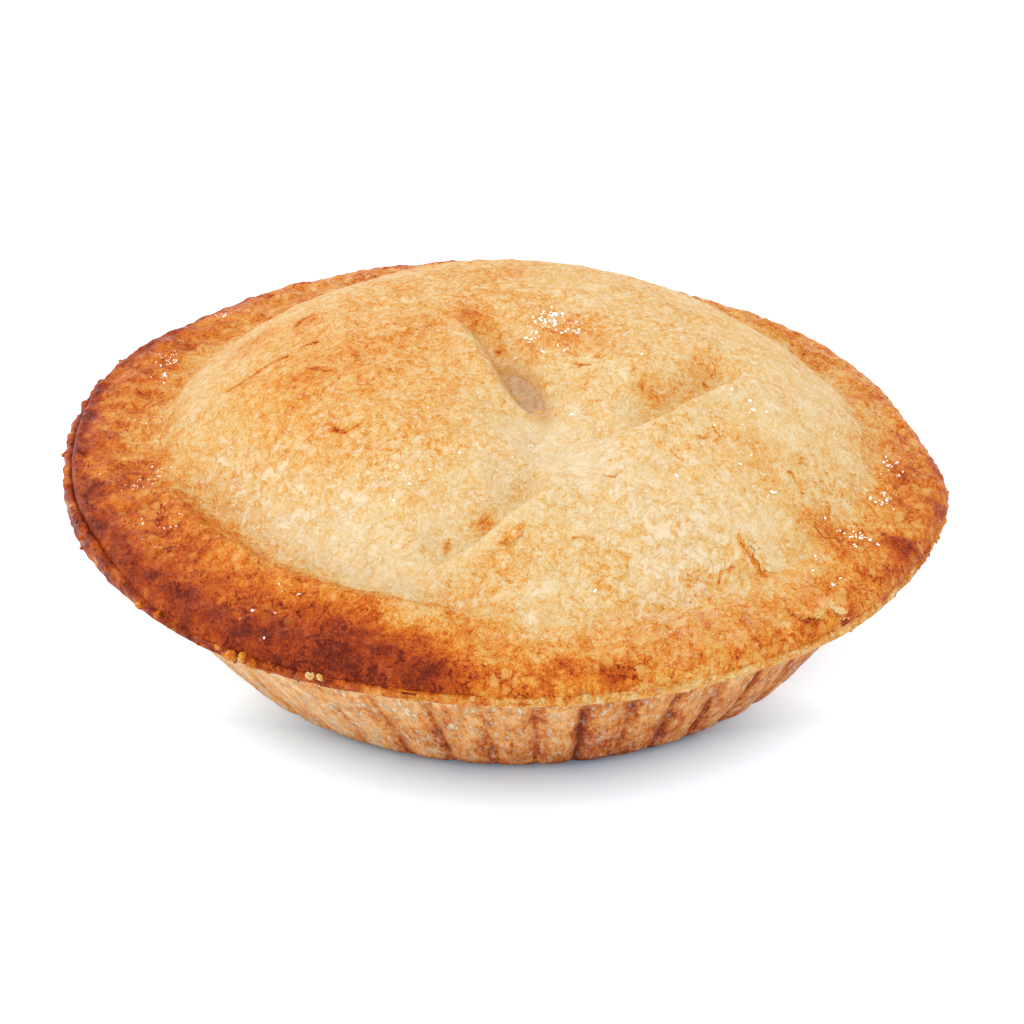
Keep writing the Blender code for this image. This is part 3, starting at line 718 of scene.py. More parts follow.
def turned(name, profile, steps):
    """A closed solid turned round Z from a profile of (radius, height) that starts and ends on the axis."""
    piece = added(
        bpy.ops.mesh.primitive_circle_add, vertices=len(profile), radius=RIM_RADIUS, fill_type="NOTHING"
    )
    piece.name = name
    radii, heights = np.array(profile).T
    move_points(piece, radii, np.zeros(len(radii)), heights)
    with edit_mode():
        pass        # it only leaves nothing selected
    for edge in piece.data.edges:
        edge.select = set(edge.vertices) == {0, len(profile) - 1}
    bpy.ops.object.mode_set(mode="EDIT")
    bpy.ops.mesh.delete(type="EDGE")
    bpy.ops.object.mode_set(mode="OBJECT")
    modify(piece, "SCREW", steps=steps, render_steps=steps, use_merge_vertices=True, merge_threshold=WELD)
    with edit_mode("SELECT"):
        bpy.ops.mesh.remove_doubles(threshold=WELD)
        bpy.ops.mesh.normals_make_consistent(inside=False)
    return piece


def round_sheet(name, rings, radius):
    """A flat round sheet of square faces: a grid whose square rings are drawn out to circles."""
    across = 2 * rings
    piece = added(bpy.ops.mesh.primitive_grid_add, x_subdivisions=across, y_subdivisions=across, size=2.0)
    piece.name = name
    u, v, flat = points_of(piece)
    wide = np.abs(u) >= np.abs(v)
    ring = np.where(wide, u, v)
    safe = np.where(ring == 0.0, 1.0, ring)
    turn = np.where(wide, 0.25 * np.pi * v / safe, 0.5 * np.pi - 0.25 * np.pi * u / safe)
    move_points(piece, radius * ring * np.cos(turn), radius * ring * np.sin(turn), flat)
    return piece


def close_below(piece, profile):
    """Extrudes a sheet's border through (radius, height) points and closes it at the axis."""
    leave_only(piece)
    with edit_mode():
        bpy.ops.mesh.select_non_manifold()
        (last_radius, last_height), *others = profile
        for radius, height in others:
            bpy.ops.mesh.extrude_region_move()
            scale = radius / last_radius
            bpy.ops.transform.resize(value=(scale, scale, 1.0), center_override=(0.0, 0.0, 0.0))
            bpy.ops.transform.translate(value=(0.0, 0.0, height - last_height))
            last_radius, last_height = radius, height
        bpy.ops.mesh.extrude_region_move()
        bpy.ops.mesh.merge(type="CENTER")
        bpy.ops.mesh.select_all(action="SELECT")
        bpy.ops.mesh.normals_make_consistent(inside=False)


# Materials

def fill(node, sockets):
    """Fills a node's sockets with values or links."""
    for socket, value in sockets.items():
        if isinstance(value, bpy.types.NodeSocket):
            node.id_data.links.new(value, node.inputs[socket])
        else:
            node.inputs[socket].default_value = value


def add_node(tree, kind, sockets=None, **settings):
    """Adds a node, makes its settings, and fills its sockets."""
    made = tree.nodes.new(kind)
    for name, value in settings.items():
        setattr(made, name, value)
    fill(made, sockets or {})
    return made


def maths(tree, operation, first, second=0.0, third=0.0):
    return add_node(tree, "ShaderNodeMath", {0: first, 1: second, 2: third}, operation=operation).outputs[0]


def times(tree, first, second):
    return maths(tree, "MULTIPLY", first, second)


def weighted(tree, value, weight, base):
    """base plus weight times value."""
    return maths(tree, "MULTIPLY_ADD", value, weight, base)


def vector_maths(tree, operation, sockets, output="Vector"):
    return add_node(tree, "ShaderNodeVectorMath", sockets, operation=operation).outputs[output]


def stretched(tree, where, scale):
    return add_node(tree, "ShaderNodeMapping", {"Vector": where, "Scale": scale}).outputs[0]


def remap(tree, value, low, high, to_low=0.0, to_high=1.0):
    sockets = {"Value": value, "From Min": low, "From Max": high, "To Min": to_low, "To Max": to_high}
    return add_node(tree, "ShaderNodeMapRange", sockets).outputs[0]


def blend(tree, share, first, second):
    return add_node(tree, "ShaderNodeMix", {0: share, 6: first, 7: second}, data_type="RGBA").outputs[2]


def noise(tree, where, size, detail=2.0, roughness=0.5):
    """Cloudy noise from 0 to 1 with features of about that size in mm."""
    sockets = {"Vector": where, "Scale": 1.0 / (size * MM), "Detail": detail, "Roughness": roughness}
    return add_node(tree, "ShaderNodeTexNoise", sockets).outputs[0]


def patches(tree, where, size):
    """Flat patches of about that size in mm: each one's own number, and the distance from its middle."""
    voronoi = add_node(tree, "ShaderNodeTexVoronoi", {"Vector": where, "Scale": 1.0 / (size * MM)})
    own = add_node(tree, "ShaderNodeSeparateColor", {0: voronoi.outputs["Color"]}).outputs[0]
    return own, voronoi.outputs["Distance"]


def warped(tree, where, size, reach):
    """Coordinates that wander by reach mm over features of size mm."""
    sockets = {"Vector": where, "Scale": 1.0 / (size * MM), "Detail": 2.0}
    drift = add_node(tree, "ShaderNodeTexNoise", sockets).outputs["Color"]
    centred = vector_maths(tree, "SUBTRACT", {0: drift, 1: (0.5, 0.5, 0.5)})
    scaled = vector_maths(tree, "SCALE", {0: centred, "Scale": 2.0 * reach * MM})
    return vector_maths(tree, "ADD", {0: where, 1: scaled})


def attribute(tree, name, output="Fac"):
    return add_node(tree, "ShaderNodeAttribute", attribute_name=name).outputs[output]


def tone_ramp(tree, tone, stops):
    """Colours along a tone from 0 to 1, through (place, colour) stops."""
    ramp = add_node(tree, "ShaderNodeValToRGB", {0: tone})
    elements = ramp.color_ramp.elements
    while len(elements) < len(stops):
        elements.new(0.5)
    for element, (place, value) in zip(elements, stops):
        element.position = place
        element.color = value
    return ramp.outputs[0]


def new_material(name):
    material = bpy.data.materials.new(name)
    material.use_nodes = True
    tree = material.node_tree
    where = add_node(tree, "ShaderNodeTexCoord").outputs["Object"]
    return material, tree, tree.nodes["Principled BSDF"], where


def sum_of(tree, terms):
    """The sum of (value, weight) pairs, each value counted from its middle of 0.5."""
    total = 0.0
    for value, weight in terms:
        total = weighted(tree, maths(tree, "SUBTRACT", value, 0.5), weight, total)
    return total


def bump(tree, height, depth):
    """A bump whose height of 1 stands for depth mm."""
    sockets = {"Strength": 1.0, "Distance": depth * MM, "Height": height}
    return add_node(tree, "ShaderNodeBump", sockets).outputs[0]


def crust_stops(colours):
    """Where along the tone from 0 to 1 each of the crust's colours lies."""
    return (
        (0.0, colours.cream), (0.2, colours.straw), (0.38, colours.gold), (0.54, colours.amber),
        (0.70, colours.orange), (0.86, colours.rust), (1.0, colours.mahogany),
    )


def wall_stops(colours):
    return (
        (0.0, colours.flour), (0.22, colours.wall_pale), (0.48, colours.wall_tan),
        (0.78, colours.wall_brown), (1.0, colours.wall_dark),
    )


def edge_lines(tree, where, size, width):
    """Thin lines along the edges of uneven cells of about that size in mm, 1 on the line."""
    sockets = {"Vector": where, "Scale": 1.0 / (size * MM)}
    off = add_node(tree, "ShaderNodeTexVoronoi", sockets, feature="DISTANCE_TO_EDGE").outputs["Distance"]
    return remap(tree, off, width / size, 0.4 * width / size)


def drawn_out(tree, where, upright, size, detail, roughness):
    """Cloudy noise whose features are drawn out along Y, and more so where upright is 1."""
    level, steep = (
        noise(tree, stretched(tree, where, scale), size, detail, roughness)
        for scale in ((0.9, 0.7, 1.0), (1.1, 0.55, 1.0))
    )
    return weighted(tree, maths(tree, "SUBTRACT", steep, level), upright, level)


def baked_crust(colours):
    """Baked pastry, browned by each point's own tone, with painted shade in places: fibres, pores, pale
    skin and golden blisters.
    """
    material, tree, shader, where = new_material("baked_crust")
    names = ("toast", "gloss", "damp", "flaky", "upright")
    toast, gloss, damp, flaky, upright = (attribute(tree, name) for name in names)
    on_rim = remap(tree, toast, 0.44, 0.62)
    long = stretched(tree, where, (1.0, 0.75, 1.0))
    bent = warped(tree, where, 4.0, 1.6)

    # Fibres, grain and chips, and blotches on the rim: less on the palest and on the darkest pastry
    cloud = noise(tree, long, 5.0, 4.0, 0.6)
    mottle = remap(tree, drawn_out(tree, bent, upright, 1.25, 5.0, 0.72), 0.42, 0.58)
    curls = remap(tree, drawn_out(tree, warped(tree, bent, 0.9, 0.25), upright, 0.5, 3.0, 0.7), 0.40, 0.60)
    grain = remap(tree, noise(tree, long, 0.22, 2.0, 0.7), 0.36, 0.64)
    chip, _ = patches(tree, warped(tree, long, 0.7, 0.25), 0.4)
    uneven = sum_of(tree, ((cloud, 0.40), (mottle, 0.15), (curls, 0.17), (grain, 0.20), (chip, 0.08)))
    blotch = maths(tree, "SUBTRACT", remap(tree, noise(tree, where, 3.2, 4.0, 0.6), 0.36, 0.64), 0.5)
    uneven = weighted(tree, times(tree, blotch, on_rim), 0.20, uneven)
    uneven = times(tree, uneven, remap(tree, toast, 0.05, 0.25, 0.5, 1.0))
    uneven = times(tree, uneven, remap(tree, toast, 0.60, 0.84, 1.0, 0.45))

    # Broken lines where the skin flakes, and pores, both painted darker as painted shade in them
    flaking = remap(tree, noise(tree, where, 7.0, 2.0), 0.42, 0.56)
    lines = edge_lines(tree, warped(tree, long, 1.0, 0.55), 1.5, 0.12)
    broken = remap(tree, noise(tree, where, 1.3, 2.0), 0.50, 0.56)
    lines = times(tree, times(tree, lines, broken), flaking)
    pore, pore_off = patches(tree, long, 0.7)
    pores = times(tree, remap(tree, pore_off, 0.24, 0.12), remap(tree, pore, 0.70, 0.74))
    pores = times(tree, pores, remap(tree, toast, 0.30, 0.62, 0.2, 1.0))
    tone = weighted(tree, pores, 0.20, weighted(tree, lines, 0.16, maths(tree, "ADD", toast, uneven)))
    base = tone_ramp(tree, tone, crust_stops(colours))

    # Long cracks, in the pale pastry alone, painted amber as painted shade in them
    cracks = edge_lines(tree, warped(tree, long, 1.6, 1.0), 4.5, 0.13)
    cracks = times(tree, cracks, remap(tree, noise(tree, where, 3.0), 0.61, 0.66))
    base = blend(tree, times(tree, cracks, remap(tree, toast, 0.62, 0.42, 0.0, 0.7)), base, colours.amber)

    # Pale skin in flecks and patches
    fleck = drawn_out(tree, warped(tree, bent, 0.9, 0.35), upright, 0.95, 4.0, 0.62)
    skin = weighted(tree, flaky, 0.055, noise(tree, warped(tree, bent, 1.6, 0.4), 2.0, 8.0, 0.80))
    thin = remap(tree, weighted(tree, flaky, 0.03, fleck), 0.57, 0.64, 0.0, 0.6)
    flecks = maths(tree, "MAXIMUM", thin, remap(tree, skin, 0.565, 0.615))
    flecks = times(tree, flecks, remap(tree, toast, 0.60, 0.36))
    base = blend(tree, times(tree, flecks, 0.70), base, colours.flour)

    # Golden blisters on the rim, and filling that has soaked into the vent's edge
    blister, blister_off = patches(tree, warped(tree, long, 1.0, 0.7), 1.5)
    chosen = remap(tree, weighted(tree, flaky, 0.35, blister), 0.74, 0.77)
    golden = times(tree, times(tree, chosen, remap(tree, blister_off, 0.50, 0.30)), on_rim)
    golden = times(tree, golden, remap(tree, toast, 0.92, 0.70))
    gilt = blend(tree, remap(tree, toast, 0.60, 0.76), colours.gold, colours.amber)
    base = blend(tree, times(tree, golden, 0.75), base, gilt)
    base = blend(tree, times(tree, damp, 0.8), base, colours.filling)

    rough = remap(tree, gloss, 0.0, 1.0, 0.62, 0.32)
    height = ((mottle, 0.35), (curls, 0.4), (grain, 0.3), (flecks, 0.15), (lines, -0.2), (pores, -0.4))
    fill(shader, {
        "Base Color": base,
        "Roughness": maths(tree, "ADD", rough, sum_of(tree, ((mottle, 0.16), (grain, 0.14)))),
        "Normal": bump(tree, maths(tree, "ADD", sum_of(tree, height), times(tree, golden, 0.5)), 0.12),
        "IOR": 1.45,
        "Specular IOR Level": 0.11,
    })
    return material


def tin_crust(colours):
    """The wall's pastry, baked against the tin: floury patches on tan, brown valleys, pores and foot,
    with painted shade to the front right, in the valleys and in the pores.
    """
    material, tree, shader, _ = new_material("tin_crust")
    stain, where = attribute(tree, "stain"), attribute(tree, "unrolled", "Vector")
    cloud = noise(tree, where, 3.4, 4.0, 0.6)
    mottle = remap(tree, noise(tree, where, 1.1, 5.0, 0.7), 0.42, 0.58)
    grain = remap(tree, noise(tree, where, 0.4, 3.0, 0.65), 0.38, 0.62)
    chip, _ = patches(tree, warped(tree, where, 0.8, 0.4), 0.5)
    uneven = sum_of(tree, ((cloud, 0.8), (mottle, 0.22), (chip, 0.08), (grain, 0.18)))
    pore, pore_off = patches(tree, where, 0.75)
    pores = times(tree, remap(tree, pore_off, 0.26, 0.14), remap(tree, pore, 0.6, 0.64))
    # Pores are painted darker: painted shade in them
    tone = weighted(tree, pores, 0.25, maths(tree, "ADD", stain, uneven))
    base = tone_ramp(tree, tone, wall_stops(colours))
    dust = noise(tree, warped(tree, where, 1.2, 0.25), 0.9, 6.0, 0.74)
    dusty = times(tree, remap(tree, dust, 0.535, 0.60), remap(tree, stain, 0.75, 0.45, 0.35, 1.0))
    height = sum_of(tree, ((mottle, 0.5), (chip, 0.2), (grain, 0.3), (dusty, 0.5), (pores, -0.7)))
    fill(shader, {
        "Base Color": blend(tree, times(tree, dusty, 0.75), base, colours.flour),
        "Normal": bump(tree, height, 0.18),
        "Roughness": remap(tree, mottle, 0.0, 1.0, 0.6, 0.8),
        "Specular IOR Level": 0.15,
    })
    return material


def damp_filling(colours):
    """Lemon filling: greyish tan and damp, with soft lumps and a few yellow flecks."""
    material, tree, shader, where = new_material("damp_filling")
    lump = noise(tree, where, 1.2, 5.0, 0.65)
    fleck, fleck_off = patches(tree, where, 1.6)
    base = blend(tree, remap(tree, lump, 0.40, 0.75, 0.0, 0.7), colours.filling, colours.straw)
    yellow = times(tree, remap(tree, fleck, 0.7, 0.75), remap(tree, fleck_off, 0.4, 0.3))
    fill(shader, {
        "Base Color": blend(tree, yellow, base, colours.zest),
        "Normal": bump(tree, lump, 0.4),
        "Roughness": remap(tree, lump, 0.3, 0.7, 0.18, 0.42),
        "Subsurface Weight": 0.3,
        "Subsurface Radius": (1.0, 0.7, 0.3),
        "Subsurface Scale": 2.0 * MM,
    })
    return material


def sugar_and_glints():
    """Sugar grains, which also stand for glints: nearly white, with sharp gloss."""
    material, tree, shader, where = new_material("sugar_and_glints")
    base = blend(tree, noise(tree, where, 0.6, 2.0), WARM_WHITE, WHITE)
    fill(shader, {"Base Color": base, "Roughness": 0.12, "IOR": 1.54})
    return material


def pale_floor(case, studio):
    """A floor that glows up to full white, with a painted soft shadow in front of the pie's foot,
    where its glow fades.
    """
    material, tree, shader, where = new_material("pale_floor")
    off = vector_maths(tree, "SUBTRACT", {0: where, 1: (case.lean, 0.0, 0.0)})
    reach = vector_maths(tree, "LENGTH", {0: off}, "Value")
    # Painted shadow: the glow is lowest at the foot, and only in front of the pie
    near, far = case.foot_radius - 0.5 * MM, case.foot_radius + SHADOW_REACH
    clear = maths(tree, "POWER", remap(tree, reach, near, far), 0.7)
    way = vector_maths(tree, "NORMALIZE", {0: off})
    front = times(tree, add_node(tree, "ShaderNodeSeparateXYZ", {0: way}).outputs["Y"], -1.0)
    glow = maths(tree, "MAXIMUM", clear, remap(tree, front, *SHADOW_SIDES))
    glow = times(tree, glow, studio.floor_glow)
    fill(shader, {
        "Base Color": FLOOR_COLOUR, "Roughness": 0.9, "Emission Color": WHITE, "Emission Strength": glow
    })
    return material


# Pieces

def floor_radius(case):
    """Radius of the flat part of the case's floor, inside."""
    return wall_radius(case, case.floor) - case.wall - FLOOR_CORNER


def case_profile(case):
    """From the middle of the case's floor up its inside, over the turned-up edge, and down its outside."""
    lip_inside, lip_top = RIM_RADIUS - case.lip_width, flange_top(case) + case.lip_height
    mouth = UNDERSIDE_RADII[0] + 2.0 * GAP
    inside = [
        (0.0, case.floor),
        (floor_radius(case), case.floor),
        (floor_radius(case) + FLOOR_CORNER, case.floor + FLOOR_CORNER),
        (mouth, flange_top(case) - 0.5 * case.flange),
        (mouth + 0.5 * case.flange, flange_top(case)),
        (lip_inside - 1.0 * MM, flange_top(case)),
    ]
    middle, half = lip_inside + 0.5 * case.lip_width, 0.5 * case.lip_width
    inner_side = [(lip_inside, z) for z in np.linspace(flange_top(case), lip_top - half, 4)[:-1]]
    crown_turns, quarter = np.linspace(0.0, np.pi, 15), np.linspace(0.0, 0.5 * np.pi, 6)[1:]
    crown = [(middle - half * np.cos(turn), lip_top - half + half * np.sin(turn)) for turn in crown_turns]
    outer_side = [(RIM_RADIUS, z) for z in np.linspace(lip_top - half, case.underside + half, 9)[1:]]
    lowest = case.underside + half
    under = [(middle + half * np.cos(turn), lowest - half * np.sin(turn)) for turn in quarter]
    shelf = [(radius, case.underside) for radius in np.linspace(middle, case.top_radius + 0.5 * MM, 7)[1:]]
    wall = [(wall_radius(case, z), z) for z in np.linspace(0.97, 0.09, 42) * case.underside]
    rounding = case.foot_rounding
    foot = [
        (case.foot_radius - rounding + 1.1 * rounding * np.cos(turn), rounding - rounding * np.sin(turn))
        for turn in np.linspace(math.radians(15.0), 0.5 * np.pi, 6)
    ]
    bottom = [(radius * MM, 0.0) for radius in (36.0, 28.0, 18.0, 8.0, 0.0)]
    return inside + inner_side + crown + outer_side + under + shelf + wall + foot + bottom


def flute_valley(case, angle):
    """1 in the valleys between the flutes and 0 on their rounded backs, uneven round the case."""
    wander = math.radians(0.8) * np.sin(5.0 * angle + 0.4)
    valley = (1.0 - np.abs(np.sin(0.5 * case.flutes * (angle - case.phase + wander)))) ** FLUTE_SHARPNESS
    shallow = 1.0 - 0.6 * towards(angle, SHALLOW_SIDE)
    own = rim_waves(angle, 0.0 * angle, 7.0, 57)
    return shallow * valley * np.clip(1.0 + 0.2 * np.sin(3.0 * angle + 1.0) + 0.6 * own, 0.25, 1.5)


def flute_fade(height):
    """Share of the flutes' depth at a height: full at mid height, less at the foot, least at the flange."""
    return 0.45 + 0.55 * smooth(*FLUTES_FULL, height) - 0.85 * smooth(*FLUTES_GONE, height)


def shape_case(case, x, y, z):
    """Presses the flutes in, makes the flange and its edge uneven, and leans the case."""
    radius, angle = polar(x, y)
    on_wall = (radius > wall_radius(case, z) - 0.4 * case.wall) & (z < 0.98 * case.underside)
    pressed = case.flute_depth * flute_valley(case, angle) * np.where(on_wall, flute_fade(z), 0.0)
    on_flange = smooth(50.5 * MM, case.top_radius, radius) * smooth(15.0 * MM, case.underside, z)
    ragged = rim_waves(angle, z, 2.6, 51) + 0.8 * rim_waves(angle, z, 1.1, 52)
    broad = rim_waves(angle, 0.0 * z, 9.0, 53)
    on_lip = smooth(RIM_RADIUS - 1.6 * case.lip_width, RIM_RADIUS - 0.8 * case.lip_width, radius)
    top = on_lip * smooth(case.underside + 0.5 * MM, flange_top(case) + case.lip_height, z)
    outer = on_lip * smooth(RIM_RADIUS - 0.6 * case.lip_width, RIM_RADIUS, radius)
    sealed = 1.0 - groove_share(angle)
    crag = top * MM * (1.0 - sealed) * (0.28 * ragged + 0.25 * broad + 0.6)
    crag = crag - 0.85 * sealed * on_lip * np.maximum(z - flange_top(case), 0.0)
    below = on_lip * (1.0 - smooth(case.underside, flange_top(case), z))
    sag = below * MM * (0.25 * ragged - 0.25 * np.abs(broad))
    rough = np.where(on_wall, waves(x, y, z, 1.5 * MM, 54) + 0.7 * waves(x, y, z, 0.8 * MM, 55), 0.0)
    lumpy = np.where(on_wall, waves(x, y, z, 4.2 * MM, 56), 0.0)
    push = 0.36 * MM * ragged * outer + (0.12 * rough + 0.22 * lumpy) * MM * smooth(0.5 * MM, 3.0 * MM, z)
    scale = 1.0 + (outline(angle) - 1.0) * on_flange + (push - pressed) / np.maximum(radius, MM)
    return x * scale + lean(case, z), y * scale, z + rim_lift(angle) * on_flange + crag + sag


def paint_case(case, piece):
    """How brown the turned-up edge is, with painted shade on its inner side, and how stained the wall,
    with painted shade to the front right and in the flutes' valleys.
    """
    x, y, z = points_of(piece)
    x = x - lean(case, z)
    radius, angle = polar(x, y)
    # The lip's inner side takes the groove's tone, which holds painted shade
    edge, groove = (rim_toast(angle, share + 0.0 * x) for share in (3.0, 2.0))
    fallen = np.clip((flange_top(case) + case.lip_height + rim_lift(angle) - z) / (2.4 * MM), 0.0, 1.0)
    inner = smooth(0.35 * MM, 0.9 * MM, RIM_RADIUS * outline(angle) - radius)
    patchy = rim_waves(angle, z, 2.4, 61)
    tone = edge + (groove - edge) * inner - 0.06 * smooth(0.35, 1.0, fallen) + 0.14 * patchy
    side = np.interp(np.degrees(angle), *np.array(WALL_STAIN_AND_SHADE, float).T, period=360.0)
    valley = np.clip(flute_valley(case, angle), 0.0, 1.0) * flute_fade(z)
    foot = 1.0 - smooth(0.6 * MM, 4.0 * MM, z)
    low = 1.0 - smooth(4.0 * MM, 18.0 * MM, z)
    drips = rim_waves(angle, 0.25 * z, 4.5, 62)
    bottom = z < 0.05 * MM
    # Darker round the front right and in the flutes' valleys, in part painted shade; darker too towards the
    # foot
    stain = side + 0.38 * valley + 0.18 * foot + 0.10 * low + 0.10 * drips
    stain = np.where(bottom, 0.45 + 0.1 * drips, stain)
    paint(
        piece,
        toast=np.clip(tone, 0.0, DARKEST_TOAST),
        gloss=0.5 + 0.3 * smooth(0.6, 0.8, tone),
        damp=0.0,
        stain=np.clip(stain, 0.0, 1.0),
    )
    mean_radius = 0.5 * (case.foot_radius + case.top_radius)
    round_x, round_y = mean_radius * np.cos(angle), mean_radius * np.sin(angle)
    paint_place(piece, "unrolled", np.where(bottom, x, round_x), np.where(bottom, y, round_y), 0.5 * z)


def faces_in_slot(piece, slot, chosen):
    """Gives the faces whose middle is chosen, by its x, y and z, another of the piece's materials."""
    middles = np.empty(len(piece.data.polygons) * 3)
    piece.data.polygons.foreach_get("center", middles)
    picked = chosen(*middles.reshape(-1, 3).T)
    piece.data.polygons.foreach_set("material_index", np.where(picked, slot, 0).astype(np.int32))


def shape_lid(case, lid, x, y, z):
    """Drapes the flat sheet, whose top lies at the lid's thickness, over the dome and the flange."""
    radius, angle = polar(x, y)
    on_flange = smooth(lid.dome_radius, case.top_radius, radius)
    share = np.clip(z / lid.thickness, 0.0, 1.0)
    relief = share * lid_relief(lid, x, y) - (1.0 - share) * underside_dip(x, y)
    lift = flange_top(case) + GAP + rim_lift(angle) * on_flange
    grooved = groove_share(angle)
    outer = smooth(0.82 * RIM_RADIUS, 0.97 * RIM_RADIUS, radius)
    at_edge = smooth(0.945 * RIM_RADIUS, 0.973 * RIM_RADIUS, radius)
    ragged = rim_waves(angle, z, 2.4, 21) + 0.7 * rim_waves(angle, z, 1.1, 22)
    reach = (1.0 - grooved) * (case.lip_width + GAP - 0.15 * MM) + grooved * (GAP + 0.2 * MM)
    spread = (outer * reach + 0.16 * MM * ragged * at_edge * (1.0 - grooved)) / RIM_RADIUS
    scale = 1.0 + (outline(angle) - 1.0) * on_flange + spread
    settle = outer * (1.0 - grooved) * 0.85 * MM - at_edge * (0.95 * MM * grooved + 0.15 * MM * ragged)
    return x * scale, y * scale, lift + dome(lid, x, y) + z + relief - settle


def round_shoulder(case, lid, piece):
    """Bends the sheet's outer rings down into the lid's rounded edge."""
    edge = RIM_RADIUS - case.lip_width - GAP
    radius, angle = polar(*points_of(piece)[:2])
    inner_rings = LID_RINGS - EDGE_RINGS
    ring = radius / edge * LID_RINGS
    turn = 0.5 * np.pi * np.clip((ring - inner_rings) / EDGE_RINGS, 0.0, 1.0)
    shoulder = edge - lid.edge * (1.0 - np.sin(turn))
    drawn = np.where(ring <= inner_rings, ring / inner_rings * (edge - lid.edge), shoulder)
    height = lid.thickness * (EDGE_SHARE + (1.0 - EDGE_SHARE) * np.cos(turn))
    move_points(piece, drawn * np.cos(angle), drawn * np.sin(angle), height)
    return edge


def cut_vent(lid, piece):
    """Cuts the vent through the lid with an oval cutter."""
    cutter = added(bpy.ops.mesh.primitive_cylinder_add, vertices=64, radius=0.5, depth=30.0 * MM)
    cutter.location = (*VENT_AT, 36.0 * MM)
    cutter.scale = (lid.vent_width, lid.vent_length, 1.0)
    cutter.rotation_euler = (0.0, 0.0, VENT_TURN)
    modify(piece, "BOOLEAN", operation="DIFFERENCE", solver="EXACT", object=cutter)
    bpy.data.objects.remove(cutter)


def paint_lid(lid, piece):
    """How brown, glossy and damp the lid is, how much its skin flakes, and where its fibres stand up."""
    x, y, _ = points_of(piece)
    radius, angle = polar(x, y)
    wet, dot = at_spot(x, y, *WET_SPOT), at_spot(x, y, *DARK_DOT)
    off, _, share = along_path(x / MM, y / MM, CREASES["back_slit"]["points"])
    # Along the back slit's crease the lid is tinted a little towards the filling's darker colour
    trough = bell(off, 1.3) * smooth(0.02, 0.2, share) * (1.0 - smooth(0.6, 0.8, share))
    inside = 1.0 - smooth(-0.2 * MM, 1.1 * MM, vent_distance(lid, x, y))
    shine = 0.15 + rim_share(lid, x, y) * (0.35 + 0.4 * towards(angle, GLOSSY_SIDE)) + 0.8 * wet
    paint(
        piece,
        flaky=sum(much * at_spot(x, y, *spot) for *spot, much in PALE_PATCHES),
        upright=smooth(0.55, 0.9, np.abs(np.cos(angle))) * smooth(0.35, 0.8, radius / RIM_RADIUS),
        toast=np.clip(lid_toast(lid, x, y) + 0.5 * dot, 0.0, 1.0),
        gloss=np.clip(shine, 0.0, 1.0),
        damp=np.clip(0.2 * trough + 0.8 * inside, 0.0, 1.0) * (1.0 - dot),
    )


class LEMONPIE_OT_case(bpy.types.Operator):
    """Spin the fluted pastry case, with its turned-up edge"""

    bl_idname = "lemonpie.case"
    bl_label = "Pastry Case"

    def execute(self, context):
        case = context.scene.pie_case
        colours = context.scene.pie_colours
        piece = turned("pie_case", case_profile(case), case.flutes * case.steps)
        move_points(piece, *shape_case(case, *points_of(piece)))
        paint_case(case, piece)
        wear(piece, baked_crust, colours)
        wear(piece, tin_crust, colours)
        faces_in_slot(piece, 1, lambda x, y, z: z < case.underside + rim_lift(np.arctan2(y, x)) + 0.1 * MM)
        finish_piece(piece, "case_pastry", "base_crust")
        return {"FINISHED"}


class LEMONPIE_OT_filling(bpy.types.Operator):
    """Make the filling that the case and the lid hold"""

    bl_idname = "lemonpie.filling"
    bl_label = "Lemon Filling"

    def execute(self, context):
        case, lid = context.scene.pie_case, context.scene.pie_lid
        top, corner = flange_top(case), floor_radius(case)
        piece = round_sheet("pie_filling", FILLING_RINGS, UNDERSIDE_RADII[0])
        x, y, z = points_of(piece)
        move_points(piece, x, y, z + top)
        close_below(piece, (
            (UNDERSIDE_RADII[0], top),
            (corner + FLOOR_CORNER - GAP, case.floor + FLOOR_CORNER + 0.5 * GAP),
            (corner - 0.5 * GAP, case.floor + GAP),
        ))
        x, y, z = points_of(piece)
        lumps = 0.12 * MM * plan_waves(x, y, 2.2, 41)
        off = vent_distance(lid, x, y)
        in_vent = 1.0 - smooth(0.3 * MM, 0.95 * MM, off)
        dip = (0.04 + 0.30 * (1.0 - smooth(-1.1 * MM, 0.1 * MM, off))) * MM
        under_lid = -underside_dip(x, y) - FILLING_STEP
        level = GAP + lid.thickness + lid_relief(lid, x, y) - dip
        raised = dome(lid, x, y) + under_lid + (level - under_lid) * in_vent + lumps * (1.0 - in_vent)
        move_points(piece, x + lean(case, z), y, z + np.where(z > 0.99 * top, raised, 0.0))
        wear(piece, damp_filling, context.scene.pie_colours)
        finish_piece(piece, "lemon_filling", "lemon_filling")
        return {"FINISHED"}


class LEMONPIE_OT_lid(bpy.types.Operator):
    """Drape the pastry lid over the filling, crease it and cut its vent"""

    bl_idname = "lemonpie.lid"
    bl_label = "Pastry Lid"

    def execute(self, context):
        case, lid = context.scene.pie_case, context.scene.pie_lid
        piece = round_sheet("pie_lid", LID_RINGS, RIM_RADIUS - case.lip_width - GAP)
        edge = round_shoulder(case, lid, piece)
        below = [(edge, EDGE_SHARE * lid.thickness), (edge, 0.0)]
        close_below(piece, below + [(radius, 0.0) for radius in UNDERSIDE_RADII])
        move_points(piece, *shape_lid(case, lid, *points_of(piece)))
        cut_vent(lid, piece)
        paint_lid(lid, piece)
        wear(piece, baked_crust, context.scene.pie_colours)
        finish_piece(piece, "lid_pastry", "lid_crust")
        return {"FINISHED"}


